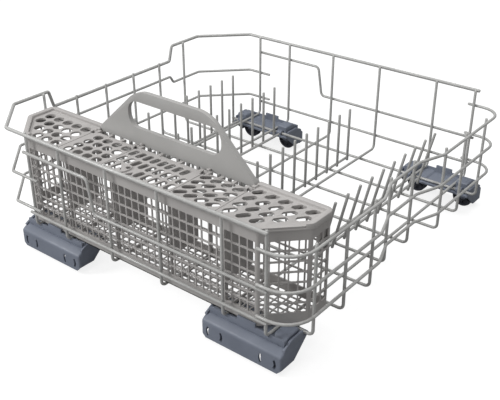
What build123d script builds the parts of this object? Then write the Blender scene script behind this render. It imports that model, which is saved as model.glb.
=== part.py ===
from build123d import *
import os
from math import acos, ceil, cos, degrees, tan

# Lower dishwasher rack with a lidded cutlery basket, in millimetres.
# X runs along the cutlery basket, which stands at the front (-Y). Z is up.
# The origin is on the ground, under the middle of the rack.

# Wires, and the gap that stands for a spot weld or a coated contact
WIRE_DIA = 4.0
RIM_DIA = 4.8
WIRE_SIDES = 8
WELD_GAP = 0.06
BEND_RADIUS = 7.0
SIDE_BEND_RADIUS = 4.8
CHORD_SAG = 1.6

# Cross wires run along Y: bays from the left uprights to the right ones
LEFT_BAY = 85.8
CROSS_BAYS = (62.0, 86.5, 86.0, 97.5, 62.0)
RIGHT_BAY = 37.3
UPRIGHT_DEPTH = 498.0
RIM_HEIGHT = 140.0
TOP_STUB = 1.5
END_STUB = 5.0

# Long wires run along X, below the cross wires
LONG_COUNT = 6
LONG_PITCH = 59.0
CLIP_WIRE_INSET = 39.0
CLIP_WIRE_STUB = 32.0

# Left side: cut corners, and a dip between two of the long wires
REAR_CORNER_CUT = 64.0
FRONT_CORNER_CUT = 57.0
RIM_DIP = 25.0
DIP_RUN = 7.0
DIP_REAR_INSET = 26.5
DIP_FRONT_INSET = 15.5
LEFT_MIDDLE_HEIGHT = 76.5
LEFT_MIDDLE_RISE = 11.5
LEFT_LOWER_HEIGHT = 31.0
LEFT_STUB = 18.0

# Front and rear sides: a stepped wire and a straight one
STEP_HIGH = 113.5
STEP_LOW = 65.5
STEP_OFFSET = 56.0
STEP_RUN = 8.0
STRAIGHT_HEIGHT = 23.5

# Right side: round corners, set in along the middle
RIGHT_HEIGHTS = (("upper", 117.0), ("middle", 71.0), ("lower", 29.0))
RIGHT_REAR_RADIUS = 28.0
RIGHT_FRONT_RADIUS = 37.0
RIGHT_STUB = 11.0
SET_IN = 14.0
SET_IN_LEAD = 6.0
SET_IN_RUN = 40.0
UPRIGHT_STUB = 4.0

# Tine rows along Y: offset from the left uprights, side of the base wire, lean to the right
TINE_ROW_OFFSETS = (78.5, 166.5, 304.0, 429.0)
TINE_ROW_SIDES = (-1, -1, 1, 1)
TINE_ROW_LEANS = (0.0, 0.0, 0.0, 20.0)
TINE_COUNT = 10
TINE_SIDES = 6
TINE_PITCH = 29.0
FIRST_TINE_Y = -73.0
TINE_HEIGHT = 88.0
TINE_FRONT_STUB = 25.0
TINE_REAR_STUB = 9.0

# Wheels on axle stubs with two moulding flats
WHEEL_DIA = 32.0
WHEEL_SIDES = 20
WHEEL_WIDTH = 11.0
WHEEL_RIM_WALL = 3.2
WHEEL_DISH = 3.0
HUB_DIA = 13.0
DISH_SIDES = 14
HUB_SIDES = 10
AXLE_DIA = 8.0
AXLE_FLATS = 5.2
AXLE_CLEARANCE = 0.08
AXLE_SPACING = 78.0
WHEEL_INSET = 10.0
WHEEL_SIDE_GAP = 0.4
WHEEL_TOP_GAP = 1.07
WHEEL_END_GAP = 1.1
BARB_SIZE = (10.6, 2.0, 4.0)

# Wheel housings, one moulding round each pair of wheels
HOUSING_WALL = 2.4
HOUSING_DEPTH = 53.5
SKIRT_PROUD = 7.5
SKIRT_LIFT = 5.0
SKIRT_CORNER = 6.0
SHOULDER_DROP = 11.0
SHELF_INSET = 3.0
DECK_GAP = 0.5
CHEEK_STEPS = ((46.0, 16.0), (27.5, 12.0), (26.5, 8.0), (5.5, 7.5))
SLOT_SIZE = (2.6, 12.0)
SLOT_OFFSET = 4.5

# Wire saddles: humps under the cross wires, a slotted ledge, and hooks on the long wire
SEAT_GAP = 0.06
SADDLE_END = 23.5
HUMP_GAP = 24.0
HUMP_DROP = 2.2
HUMP_CHAMFER = 3.0
LEDGE_INSET = 3.4
LEDGE_THICKNESS = 2.8
LEDGE_RISE = 3.6
TAB_RISE = 9.0
TAB_LENGTH = 26.0
WIRE_GAP = 0.3
HOOK_OFFSET = 11.5
HOOK_LENGTH = 9.0
HOOK_WALL = 2.4

# Cutlery tub
TUB_LEFT_INSET = 36.7
TUB_RIGHT_INSET = 10.0
TUB_FRONT_GAP = 0.3
TUB_DEPTH = 85.0
TUB_HEIGHT = 133.0
TUB_CORNER = 44.0
TUB_WALL = 2.4
TUB_FLOOR = 2.6
RIM_PROUD = 3.5
RIM_WIDTH = 6.5
RIM_BAND = 8.0
LID_LEDGE = 2.5
LID_LEDGE_DEPTH = 3.0
COMPARTMENTS = (113.3, 88.0, 91.0, 86.0)
DIVIDER = 2.2

# Openings in the tub's walls and floor
LATTICE_TOP = 20.7
LATTICE_BOTTOM = 14.0
LATTICE_ROWS = 4
LATTICE_PITCH = 28.0
LATTICE_WEB = 4.6
FLOOR_ROWS = 2

# Lids, each turning on two pins in open-topped ears on brackets of the rear wall
LID_LENGTHS = (105.0, 79.0, 113.0, 69.5)
LID_THICKNESS = 2.4
LID_RECESS = 3.0
LID_GAP = 0.8
LID_REST_GAP = 0.15
HINGE_INSET = 15.5
PIN_DIA = 3.6
PIN_SIDES = 8
PIN_CLEARANCE = 0.08
PIN_LENGTH = 2.2
EAR_THICKNESS = 5.0
EAR_RADIUS = 3.1
ARM_SIZE = 5.0
ARM_GAP = 0.4
ARM_COUNT = 4
LID_REAR_GAP = 3.6
LID_NOTCH = 6.0

# Openings of each lid: rows, columns, length and width as shares of the row step, turn
HEX_HOLES = (3, 4, 0.73, 0.73, 0.0)
FEW_HEX_HOLES = (3, 3, 0.73, 0.73, 0.0)
NARROW_SLOTS = (3, 5, 0.73, 0.34, 75.0)
SLANTED_SLOTS = (3, 4, 0.73, 0.39, 48.0)
FEW_SLANTED_SLOTS = (3, 3, 0.73, 0.39, 48.0)
LID_OPENINGS = (HEX_HOLES, FEW_HEX_HOLES, NARROW_SLOTS, FEW_SLANTED_SLOTS, SLANTED_SLOTS)
OPENING_MARGIN = 1.2

# Handle: a flanged plate hooked over the tub's rear wall
HANDLE_BASE = 263.0
HANDLE_TOP = 113.0
HANDLE_RISE = 69.0
HANDLE_DEPTH = 9.5
HANDLE_WALL = 3.0
HANDLE_FOOT = 26.0
HANDLE_GAP = 0.15
HANDLE_CORNER = 24.0
GRIP_BAR = 15.0
GRIP_HEIGHT = 37.5
GRIP_WIDTH = 157.0
GRIP_END = 14.0
GRIP_CORNER = 6.0

# Heights: the deck clears the wheels, the long wires clear the deck, the cross wires lie on them
AXLE_Z = WHEEL_DIA / 2
DECK_Z = WHEEL_DIA + WHEEL_TOP_GAP + HOUSING_WALL
LONG_Z = DECK_Z + DECK_GAP + WIRE_DIA / 2
CROSS_Z = LONG_Z + WIRE_DIA + WELD_GAP
FLOOR_Z = (LONG_Z + CROSS_Z) / 2
UPRIGHT_TOP = FLOOR_Z + RIM_HEIGHT + TOP_STUB

# Centre lines of the uprights, with the rim and the side wires welded to their outer sides
SIDE_OFFSET = WIRE_DIA + WELD_GAP
RIM_OFFSET = (WIRE_DIA + RIM_DIA) / 2 + WELD_GAP
UPRIGHT_Y = UPRIGHT_DEPTH / 2
UPRIGHT_LENGTH = LEFT_BAY + sum(CROSS_BAYS) + RIGHT_BAY
LEFT_REACH = RIM_OFFSET + RIM_DIA / 2
RIGHT_REACH = SIDE_OFFSET + WIRE_DIA / 2
LEFT_X = (LEFT_REACH - RIGHT_REACH - UPRIGHT_LENGTH) / 2
RIGHT_X = LEFT_X + UPRIGHT_LENGTH
CROSS_X = [LEFT_X + LEFT_BAY + sum(CROSS_BAYS[:i]) for i in range(len(CROSS_BAYS) + 1)]
LONG_Y = [(i - (LONG_COUNT - 1) / 2) * LONG_PITCH for i in range(LONG_COUNT)]
CLIP_Y = UPRIGHT_Y - CLIP_WIRE_INSET
SET_IN_Y = LONG_PITCH / 2 + SET_IN_LEAD
DIP_REAR_Y = LONG_Y[-1] - DIP_REAR_INSET
DIP_FRONT_Y = LONG_Y[0] + DIP_FRONT_INSET

nodes = {}


def bent(points, radii):
    """The route through the points, each corner rounded by the chords of an arc."""
    route = [Vector(*points[0])]
    for before, corner, after, radius in zip(points, points[1:], points[2:], radii):
        corner = Vector(*corner)
        if radius == 0:
            route.append(corner)
            continue
        arrive = (corner - Vector(*before)).normalized()
        leave = (Vector(*after) - corner).normalized()
        turn = acos(arrive.dot(leave))
        centre = corner + (leave - arrive).normalized() * (radius / cos(turn / 2))
        spoke = corner - arrive * (radius * tan(turn / 2)) - centre
        axis = Axis((0, 0, 0), arrive.cross(leave))
        chords = ceil(turn / (2 * acos(1 - CHORD_SAG / radius)))
        route += [centre + spoke.rotate(axis, degrees(turn) * i / chords) for i in range(chords + 1)]
    return route + [Vector(*points[-1])]


def many_sided(dia, sides):
    """A regular outline, dia across its flats, with one flat square to the local X."""
    return RegularPolygon(dia / 2, sides, major_radius=False, rotation=180 / sides)


def wire(points, flat, radii=None, dia=WIRE_DIA, sides=WIRE_SIDES):
    """One bent wire of a many-sided section, with a flat that faces the given way."""
    route = bent(points, radii or [BEND_RADIUS] * len(points))
    start = Plane(origin=route[0], x_dir=flat, z_dir=route[1] - route[0])
    return sweep(start * many_sided(dia, sides), path=Polyline(*route), transition=Transition.RIGHT)


def side_wire(points, dia=WIRE_DIA):
    """A wire that runs round a side at one height, with tight bends."""
    return wire(points, (0, 0, 1), [SIDE_BEND_RADIUS] * len(points), dia)


def block(x, y, z):
    """A box between two values on each axis."""
    size = [abs(b - a) for a, b in (x, y, z)]
    middle = [(a + b) / 2 for a, b in (x, y, z)]
    return Pos(*middle) * Box(*size)


def around(value, size):
    return (value - size / 2, value + size / 2)


def prism(points, plane, depth):
    """A closed outline on a plane, extruded along the plane's normal."""
    return extrude(plane * make_face(Polyline(*points, close=True)), amount=depth)


# Cross wires: a floor run along Y with an upright at each end
for number, x in enumerate(CROSS_X, 1):
    rear = [(x, UPRIGHT_Y, UPRIGHT_TOP), (x, UPRIGHT_Y, CROSS_Z)]
    front = [(x, -UPRIGHT_Y, CROSS_Z), (x, -UPRIGHT_Y, UPRIGHT_TOP)]
    nodes[f"cross_wire_{number}"] = wire(rear + front, (1, 0, 0))

# Long wires: a floor run along X with an upright at each end, the middle ones set in at the right
right_top = FLOOR_Z + RIGHT_HEIGHTS[0][1] + UPRIGHT_STUB
for number, y in enumerate(LONG_Y, 1):
    left_top = UPRIGHT_TOP - (RIM_DIP if DIP_FRONT_Y < y < DIP_REAR_Y else 0)
    right_x = RIGHT_X - (SET_IN if abs(y) < SET_IN_Y else 0)
    left = [(LEFT_X, y, left_top), (LEFT_X, y, LONG_Z)]
    right = [(right_x, y, LONG_Z), (right_x, y, right_top)]
    nodes[f"long_wire_{number}"] = wire(left + right, (0, 1, 0))

# Clip wires: the outermost long wires, held by the wheel carriers
for side, y in (("front", -CLIP_Y), ("rear", CLIP_Y)):
    l_shape = [(CROSS_X[0] - CLIP_WIRE_STUB, y, LONG_Z), (RIGHT_X, y, LONG_Z), (RIGHT_X, y, right_top)]
    nodes[f"{side}_clip_wire"] = wire(l_shape, (0, 1, 0))


def around_left(offset, height, dip, end_x):
    """A route from the rear round the left side to the front, lower by dip between two places."""
    x = LEFT_X - offset
    y = UPRIGHT_Y + offset
    z = FLOOR_Z + height
    rear = [(end_x, y, z), (x + REAR_CORNER_CUT, y, z), (x, y - REAR_CORNER_CUT, z)]
    front = [(x, -y + FRONT_CORNER_CUT, z), (x + FRONT_CORNER_CUT, -y, z), (end_x, -y, z)]
    rear_step = [(x, DIP_REAR_Y + DIP_RUN / 2, z), (x, DIP_REAR_Y - DIP_RUN / 2, z - dip)]
    front_step = [(x, DIP_FRONT_Y + DIP_RUN / 2, z - dip), (x, DIP_FRONT_Y - DIP_RUN / 2, z)]
    return rear + (rear_step + front_step if dip else []) + front


# Rim and left side
rim_end = CROSS_X[-1] + END_STUB
left_end = CROSS_X[0] + LEFT_STUB
rim = around_left(RIM_OFFSET, RIM_HEIGHT, RIM_DIP, rim_end)
left_middle = around_left(SIDE_OFFSET, LEFT_MIDDLE_HEIGHT, -LEFT_MIDDLE_RISE, left_end)
left_lower = around_left(SIDE_OFFSET, LEFT_LOWER_HEIGHT, 0, left_end)
nodes["rim_wire"] = side_wire(rim, RIM_DIA)
nodes["left_middle_wire"] = side_wire(left_middle)
nodes["left_lower_wire"] = side_wire(left_lower)

# Front and rear sides
start_x = CROSS_X[0] - END_STUB
step_x = CROSS_X[1] + STEP_OFFSET
for side, y in (("front", -UPRIGHT_Y - SIDE_OFFSET), ("rear", UPRIGHT_Y + SIDE_OFFSET)):
    high = FLOOR_Z + STEP_HIGH
    low = FLOOR_Z + STEP_LOW
    straight = FLOOR_Z + STRAIGHT_HEIGHT
    stepped = [(start_x, y, high), (step_x, y, high), (step_x + STEP_RUN, y, low), (rim_end, y, low)]
    nodes[f"{side}_middle_wire"] = side_wire(stepped)
    nodes[f"{side}_lower_wire"] = side_wire([(start_x, y, straight), (rim_end, y, straight)])

# Right side
for level, height in RIGHT_HEIGHTS:
    x = RIGHT_X + SIDE_OFFSET
    y = UPRIGHT_Y + SIDE_OFFSET
    z = FLOOR_Z + height
    end_x = CROSS_X[-1] - RIGHT_STUB
    rear = [(end_x, y, z), (x, y, z), (x, SET_IN_Y + SET_IN_RUN, z), (x - SET_IN, SET_IN_Y, z)]
    front = [(x - SET_IN, -SET_IN_Y, z), (x, -SET_IN_Y - SET_IN_RUN, z), (x, -y, z), (end_x, -y, z)]
    radii = [RIGHT_REAR_RADIUS, 0, 0, 0, 0, RIGHT_FRONT_RADIUS]
    nodes[f"right_{level}_wire"] = wire(rear + front, (0, 0, 1), radii)

# Tine rows: each tine stands against the side of its base wire
tine_foot = CROSS_Z - WIRE_DIA / 2
tines_y = [FIRST_TINE_Y + i * TINE_PITCH for i in range(TINE_COUNT)]
tine_rows = zip(TINE_ROW_OFFSETS, TINE_ROW_SIDES, TINE_ROW_LEANS)
for number, (place, side, lean) in enumerate(tine_rows, 1):
    base_x = LEFT_X + place
    x = base_x + side * SIDE_OFFSET
    base_ends = (tines_y[0] - TINE_FRONT_STUB, tines_y[-1] + TINE_REAR_STUB)
    row = [wire([(base_x, y, CROSS_Z) for y in base_ends], (0, 0, 1))]
    for y in tines_y:
        ends = [(x, y, tine_foot), (x + lean, y, tine_foot + TINE_HEIGHT)]
        row.append(wire(ends, (1, 0, 0), sides=TINE_SIDES))
    nodes[f"tine_row_{number}"] = Compound(children=row)


def front_y(outward):
    """Y at an outward distance from the front uprights; the rear carriers are mirrored."""
    return -UPRIGHT_Y - outward


def across(points, x_range):
    """A section in outward distance and height, extruded along X."""
    plane = Plane(origin=(x_range[0], 0, 0), x_dir=(0, 1, 0), z_dir=(1, 0, 0))
    return prism([(front_y(o), z) for o, z in points], plane, x_range[1] - x_range[0])


def facing_front(x, outward):
    """A plane at an outward distance, square to Y, centred on the axle height."""
    return Plane(origin=(x, front_y(outward), AXLE_Z), x_dir=(1, 0, 0), z_dir=(0, -1, 0))


# Wheel carriers: the parts round one pair of wheels
wheel_outer = WHEEL_WIDTH / 2 - WHEEL_INSET
wheel_inner = -WHEEL_WIDTH / 2 - WHEEL_INSET
skirt_inside = SKIRT_PROUD - HOUSING_WALL
housing_length = AXLE_SPACING + WHEEL_DIA + 2 * (WHEEL_END_GAP + HOUSING_WALL)


def wheel(x):
    """A wheel dished on its inner side, with a bore that runs on the axle stub."""
    disc = many_sided(WHEEL_DIA, WHEEL_SIDES) - many_sided(AXLE_DIA + 2 * AXLE_CLEARANCE, HUB_SIDES)
    dish = many_sided(WHEEL_DIA - 2 * WHEEL_RIM_WALL, DISH_SIDES) - many_sided(HUB_DIA, HUB_SIDES)
    body = extrude(facing_front(x, wheel_inner) * disc, amount=WHEEL_WIDTH)
    return body - extrude(facing_front(x, wheel_inner) * dish, amount=WHEEL_DISH)


def axle(x):
    """A square boss on the skirt, the stub that the wheel turns on, and a barb that keeps it there."""
    boss_end = wheel_outer + WHEEL_SIDE_GAP
    stub_end = wheel_inner - WHEEL_SIDE_GAP
    stub = Circle(AXLE_DIA / 2) & Rectangle(AXLE_DIA, AXLE_FLATS)
    length, depth, height = BARB_SIZE
    return [
        extrude(facing_front(x, boss_end) * Rectangle(HUB_DIA, HUB_DIA), amount=skirt_inside - boss_end),
        extrude(facing_front(x, stub_end) * stub, amount=boss_end - stub_end),
        extrude(facing_front(x, stub_end) * Rectangle(length, height), amount=-depth),
    ]


def housing(middle):
    """Skirt, shelf, deck and end cheeks, open below and towards the middle of the rack."""
    ends = around(middle, housing_length)
    inner = SKIRT_PROUD - HOUSING_DEPTH
    shoulder = FLOOR_Z - SHOULDER_DROP
    top = [(SKIRT_PROUD, SKIRT_LIFT), (SKIRT_PROUD, shoulder), (-SHELF_INSET, DECK_Z), (inner, DECK_Z)]
    cheek = [(-inset, z) for inset, z in CHEEK_STEPS]
    below = [
        (skirt_inside, 0),
        (skirt_inside, shoulder - HOUSING_WALL / 2),
        (-SHELF_INSET, DECK_Z - HOUSING_WALL),
        (inner - HOUSING_WALL, DECK_Z - HOUSING_WALL),
        (inner - HOUSING_WALL, 0),
    ]
    body = across(top + cheek, ends) - across(below, around(middle, housing_length - 2 * HOUSING_WALL))
    skirt = facing_front(middle, SKIRT_PROUD)
    for side in (-1, 1):
        end = side * housing_length / 2
        low = SKIRT_LIFT - AXLE_Z
        corner = [(end, low), (end - side * SKIRT_CORNER, low), (end, low + SKIRT_CORNER)]
        body -= prism(corner, skirt, -HOUSING_DEPTH)
    for x in around(middle, AXLE_SPACING):
        body += axle(x)
        for slot_x in around(x, HUB_DIA + 2 * SLOT_OFFSET):
            slot = facing_front(slot_x, SKIRT_PROUD) * Rectangle(*SLOT_SIZE)
            body -= extrude(slot, amount=-2 * HOUSING_WALL)
    return body


def saddle(middle, wires_x):
    """Two humps that carry the cross wires, a ledge with slots for them, and hooks on the clip wire."""
    bottom = DECK_Z + SEAT_GAP
    top = CROSS_Z - WIRE_DIA / 2 - SEAT_GAP
    low = top - HUMP_DROP
    half = wires_x[1] - middle + SADDLE_END
    near = HUMP_GAP / 2
    far = half - HUMP_CHAMFER
    right_hump = [(near, low), (near + HUMP_CHAMFER, top), (far, top), (half, low), (half, bottom)]
    left_hump = [(-x, z) for x, z in reversed(right_hump)]
    hook_room = WIRE_DIA / 2 + WIRE_GAP
    hook_outer = -CLIP_WIRE_INSET + hook_room
    hook_inner = -CLIP_WIRE_INSET - hook_room
    hook_top = LONG_Z + hook_room
    plane = Plane(origin=(middle, front_y(-LEDGE_INSET), 0), x_dir=(1, 0, 0), z_dir=(0, -1, 0))
    body = prism(left_hump + right_hump, plane, hook_outer + LEDGE_INSET)
    ledge_y = (front_y(-LEDGE_INSET), front_y(-LEDGE_INSET - LEDGE_THICKNESS))
    body += block(around(middle, 2 * half), ledge_y, (bottom, top + LEDGE_RISE))
    body += block(around(middle, TAB_LENGTH), ledge_y, (bottom, top + TAB_RISE))
    hook = [
        (hook_outer + HOOK_WALL, low),
        (hook_outer, low),
        (hook_outer, hook_top),
        (hook_inner, hook_top),
        (hook_inner, bottom),
        (hook_inner - HOOK_WALL, bottom),
        (hook_inner - HOOK_WALL, hook_top),
        (hook_inner, hook_top + HOOK_WALL),
        (hook_outer + HOOK_WALL, hook_top + HOOK_WALL),
    ]
    for x, side in zip(wires_x, (-1, 1)):
        body -= block(around(x, WIRE_DIA + 2 * WIRE_GAP), ledge_y, (top, top + TAB_RISE))
        body += across(hook, around(x + side * HOOK_OFFSET, HOOK_LENGTH))
    return body


for side, wires_x in (("left", CROSS_X[:2]), ("right", CROSS_X[-2:])):
    middle = sum(wires_x) / 2
    first_x, second_x = around(middle, AXLE_SPACING)
    carrier = {
        "wheel_housing": housing(middle),
        "wire_saddle": saddle(middle, wires_x),
        "wheel_1": wheel(first_x),
        "wheel_2": wheel(second_x),
    }
    for name, shape in carrier.items():
        nodes[f"front_{side}_{name}"] = shape
        nodes[f"rear_{side}_{name}"] = mirror(shape, about=Plane.XZ)

# Cutlery tub: it stands on the cross wires, inside their front bends and the carriers' ledges
wall_clear = max(BEND_RADIUS, LEDGE_INSET + LEDGE_THICKNESS, RIM_PROUD + WIRE_DIA / 2) + TUB_FRONT_GAP
tub_front = wall_clear - RIM_PROUD - UPRIGHT_Y
tub_rear = tub_front + TUB_DEPTH
tub_left = LEFT_X + TUB_LEFT_INSET
tub_right = RIGHT_X - TUB_RIGHT_INSET
tub_bottom = CROSS_Z + WIRE_DIA / 2 + SEAT_GAP
tub_top = tub_bottom + TUB_HEIGHT
tub_middle = (tub_left + tub_right) / 2
wall_in = RIM_PROUD + TUB_WALL
inner_rear = tub_rear - wall_in
lid_top = tub_top - LID_RECESS
lid_bottom = lid_top - LID_THICKNESS
ledge_top = lid_bottom - LID_REST_GAP
ledge_bottom = ledge_top - LID_LEDGE_DEPTH
hinge_y = tub_rear - HINGE_INSET
hinge_z = lid_top - LID_THICKNESS / 2
dividers = [tub_left + sum(COMPARTMENTS[: i + 1]) for i in range(len(COMPARTMENTS))]
seams = [tub_left + sum(LID_LENGTHS[: i + 1]) for i in range(len(LID_LENGTHS))]


def tub_plan(inset):
    """The plan of the tub with its two front corners cut off, moved in by inset."""
    corners = [
        (tub_left, tub_rear),
        (tub_left, tub_front + TUB_CORNER),
        (tub_left + TUB_CORNER, tub_front),
        (tub_right - TUB_CORNER, tub_front),
        (tub_right, tub_front + TUB_CORNER),
        (tub_right, tub_rear),
    ]
    plan = make_face(Polyline(*corners, close=True))
    return offset(plan, amount=-inset, kind=Kind.INTERSECTION) if inset else plan


def layer(face, low, high):
    return extrude(Pos(0, 0, low) * face, amount=high - low)


def gaps(start, end):
    """Middles of the openings that fit between two values, and their width."""
    count = max(1, round((end - start) / LATTICE_PITCH))
    step = (end - start) / count
    return [(start + (i + 0.5) * step, step - LATTICE_WEB) for i in range(count)]


# Shell of the tub, with a rim outside it and a ledge for the lids inside
tub = layer(tub_plan(RIM_PROUD), tub_bottom, tub_top)
tub += layer(tub_plan(0), tub_top - RIM_BAND, tub_top)
tub -= layer(tub_plan(wall_in), tub_bottom + TUB_FLOOR, ledge_bottom)
tub -= layer(tub_plan(RIM_WIDTH + LID_LEDGE), ledge_bottom, ledge_top)
tub -= layer(tub_plan(RIM_WIDTH), ledge_top, tub_top)

# Openings: through the front and rear walls at once, beside them at the rear, then corners, ends and floor
row_step = (TUB_HEIGHT - LATTICE_TOP - LATTICE_BOTTOM) / LATTICE_ROWS
rows_z = [tub_bottom + LATTICE_BOTTOM + (i + 0.5) * row_step for i in range(LATTICE_ROWS)]
gap_height = row_step - LATTICE_WEB
bays = [tub_left + TUB_CORNER] + dividers + [tub_right - TUB_CORNER]
through = [gap for start, end in zip(bays, bays[1:]) for gap in gaps(start, end)]
beside = gaps(tub_left + wall_in, bays[0]) + gaps(bays[-1], tub_right - wall_in)
ends = gaps(tub_front + TUB_CORNER, inner_rear)
half_cut = TUB_CORNER * 2**0.5 / 2 - wall_in
floor_step = (inner_rear - tub_front - wall_in) / FLOOR_ROWS
cutters = []
for z in rows_z:
    for x, width in through:
        cutters.append(Pos(x, tub_front + TUB_DEPTH / 2, z) * Box(width, TUB_DEPTH, gap_height))
    for x, width in beside:
        cutters.append(Pos(x, tub_rear - wall_in / 2, z) * Box(width, 2 * wall_in, gap_height))
    for y, width in ends:
        cutters.append(Pos(tub_middle, y, z) * Box(tub_right - tub_left, width, gap_height))
    for x, turn in ((tub_left + TUB_CORNER / 2, -45), (tub_right - TUB_CORNER / 2, 45)):
        corner = Pos(x, tub_front + TUB_CORNER / 2, z) * Rot(0, 0, turn)
        for along, width in gaps(-half_cut, half_cut):
            cutters.append(corner * Pos(along, 0, 0) * Box(width, 3 * wall_in, gap_height))
for i in range(FLOOR_ROWS):
    y = tub_front + wall_in + (i + 0.5) * floor_step
    for x, width in through:
        cutters.append(Pos(x, y, tub_bottom) * Box(width, floor_step - LATTICE_WEB, 3 * TUB_FLOOR))
tub -= cutters

# Dividers, and hinge ears at both ends and between the lids, reaching the rear wall below the handle
ears_x = [tub_left + RIM_WIDTH + EAR_THICKNESS / 2] + seams + [tub_right - RIM_WIDTH - EAR_THICKNESS / 2]
divider_y = (tub_front + wall_in, inner_rear)
divider_z = (tub_bottom + TUB_FLOOR, ledge_bottom)
ear_y = (hinge_y - EAR_RADIUS, inner_rear)
foot_z = tub_top - HANDLE_FOOT
ear_z = (foot_z - row_step, hinge_z + EAR_RADIUS)
tub += [block(around(x, DIVIDER), divider_y, divider_z) for x in dividers]
tub += [block(around(x, EAR_THICKNESS), ear_y, ear_z) for x in ears_x]

# Rear deck beside the handle, and the seat that the handle hooks into
handle_ends = around(tub_middle, HANDLE_BASE)
seat_ends = around(tub_middle, HANDLE_BASE + 2 * HANDLE_GAP)
handle_front = tub_rear - HANDLE_DEPTH
deck_y = (hinge_y + ARM_SIZE / 2**0.5 + LID_GAP, inner_rear)
for deck_x in ((tub_left + RIM_WIDTH, seat_ends[0]), (seat_ends[1], tub_right - RIM_WIDTH)):
    tub += block(deck_x, deck_y, (ledge_bottom, tub_top))
tub -= block(seat_ends, (handle_front - HANDLE_GAP, inner_rear), (foot_z - HANDLE_GAP, tub_top))
tub -= block(seat_ends, (inner_rear, tub_rear), (tub_top - RIM_BAND, tub_top))

# Slots of the ears, round at the bottom and open at the top
slot_dia = PIN_DIA + 2 * PIN_CLEARANCE
hinge_ends = (tub_left + RIM_WIDTH, tub_right - RIM_WIDTH)
slot_round = Rot(0, 90, 0) * Cylinder(slot_dia / 2, hinge_ends[1] - hinge_ends[0])
tub -= Pos(tub_middle, hinge_y, hinge_z) * slot_round
tub -= block(hinge_ends, around(hinge_y, slot_dia), (hinge_z, hinge_z + EAR_RADIUS))
nodes["cutlery_tub"] = tub

# Handle: outline and grip opening, seen from the front
handle_top = tub_top + HANDLE_RISE
shoulders = [(tub_middle + HANDLE_TOP / 2, handle_top), (handle_ends[1], tub_top), (handle_ends[1], foot_z)]
outline = [(2 * tub_middle - x, z) for x, z in reversed(shoulders)] + shoulders
grip_high = handle_top - GRIP_BAR
grip_low = grip_high - GRIP_HEIGHT
grip_tip = tub_middle + GRIP_WIDTH / 2
grip_side = grip_tip - GRIP_END
right_grip = [(grip_side, grip_high), (grip_tip, (grip_high + grip_low) / 2), (grip_side, grip_low)]
grip_outline = [(2 * tub_middle - x, z) for x, z in reversed(right_grip)] + right_grip
plate = make_face(Polyline(*outline, close=True))
grip = make_face(Polyline(*grip_outline, close=True))
pocket = offset(plate, amount=-HANDLE_WALL, kind=Kind.INTERSECTION)
pocket -= offset(grip, amount=HANDLE_WALL, kind=Kind.INTERSECTION)
plate = fillet(plate.vertices().sort_by(Axis.Y)[-2:], radius=HANDLE_CORNER)
grip = fillet(grip.vertices(), radius=GRIP_CORNER)
front_plane = Plane(origin=(0, handle_front, 0), x_dir=(1, 0, 0), z_dir=(0, -1, 0))
handle = extrude(front_plane * (plate - grip), amount=HANDLE_GAP - HANDLE_DEPTH)
handle -= extrude(front_plane.offset(-HANDLE_WALL) * pocket, amount=-HANDLE_DEPTH)
handle -= block(seat_ends, (inner_rear - HANDLE_GAP, tub_rear), (foot_z, tub_top - RIM_BAND + HANDLE_GAP))
nodes["basket_handle"] = handle


def openings(pattern, x_range, y_range, plate):
    """Openings on a grid over the plate, those that keep a margin from its edges."""
    rows, columns, length_share, width_share, turn = pattern
    x_step = (x_range[1] - x_range[0]) / columns
    y_step = (y_range[1] - y_range[0]) / rows
    length = length_share * y_step
    width = width_share * y_step
    shape = RegularPolygon(length / 2, 6) if length == width else Rectangle(length, width)
    kept = []
    for i in range(columns):
        for j in range(rows):
            place = Pos(x_range[0] + (i + 0.5) * x_step, y_range[0] + (j + 0.5) * y_step) * Rot(0, 0, turn)
            margin = place * offset(shape, amount=OPENING_MARGIN, kind=Kind.INTERSECTION)
            if abs((margin & plate).area - margin.area) < 1e-3:
                kept.append(place * shape)
    return kept


# Lids: perforated plates with hinge arms; the end lids have one long barrel instead
lid_rear = hinge_y - LID_REAR_GAP
lid_front = tub_front + RIM_WIDTH + LID_GAP
lid_edges = [hinge_ends[0]] + seams + [hinge_ends[1]]
for number, (left, right) in enumerate(zip(lid_edges, lid_edges[1:]), 1):
    is_first = number == 1
    is_last = number == len(lid_edges) - 1
    plate_x = (left + LID_GAP / 2, right - LID_GAP / 2)
    arms_left = left + (EAR_THICKNESS if is_first else EAR_THICKNESS / 2) + ARM_GAP
    arms_right = right - (EAR_THICKNESS if is_last else EAR_THICKNESS / 2) - ARM_GAP
    window = Rectangle(plate_x[1] - plate_x[0], lid_rear - lid_front)
    plate = tub_plan(RIM_WIDTH + LID_GAP) & Pos((left + right) / 2, (lid_front + lid_rear) / 2) * window
    for notch in ((left, arms_left), (arms_right, right)):
        plate -= Pos(sum(notch) / 2, lid_rear) * Rectangle(notch[1] - notch[0], 2 * LID_NOTCH)
    field = ((arms_left, arms_right), (lid_front, lid_rear - OPENING_MARGIN))
    holes = openings(LID_OPENINGS[number - 1], *field, plate)
    lid = layer(plate - holes, lid_bottom, lid_top)
    arm_y = (lid_rear - LID_THICKNESS, hinge_y + ARM_SIZE / 2)
    if is_first or is_last:
        arms = [(arms_left, arms_right)]
    else:
        arm_step = (arms_right - arms_left - ARM_SIZE) / (ARM_COUNT - 1)
        arms = [(arms_left + i * arm_step, arms_left + i * arm_step + ARM_SIZE) for i in range(ARM_COUNT)]
    lid += [block(arm, arm_y, around(hinge_z, ARM_SIZE)) for arm in arms]
    for x, outward in ((arms_left, -1), (arms_right, 1)):
        pin_plane = Plane(origin=(x, hinge_y, hinge_z), x_dir=(0, 1, 0), z_dir=(outward, 0, 0))
        lid += extrude(pin_plane * RegularPolygon(PIN_DIA / 2, PIN_SIDES), amount=PIN_LENGTH)
    nodes[f"lid_{number}"] = lid

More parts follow.
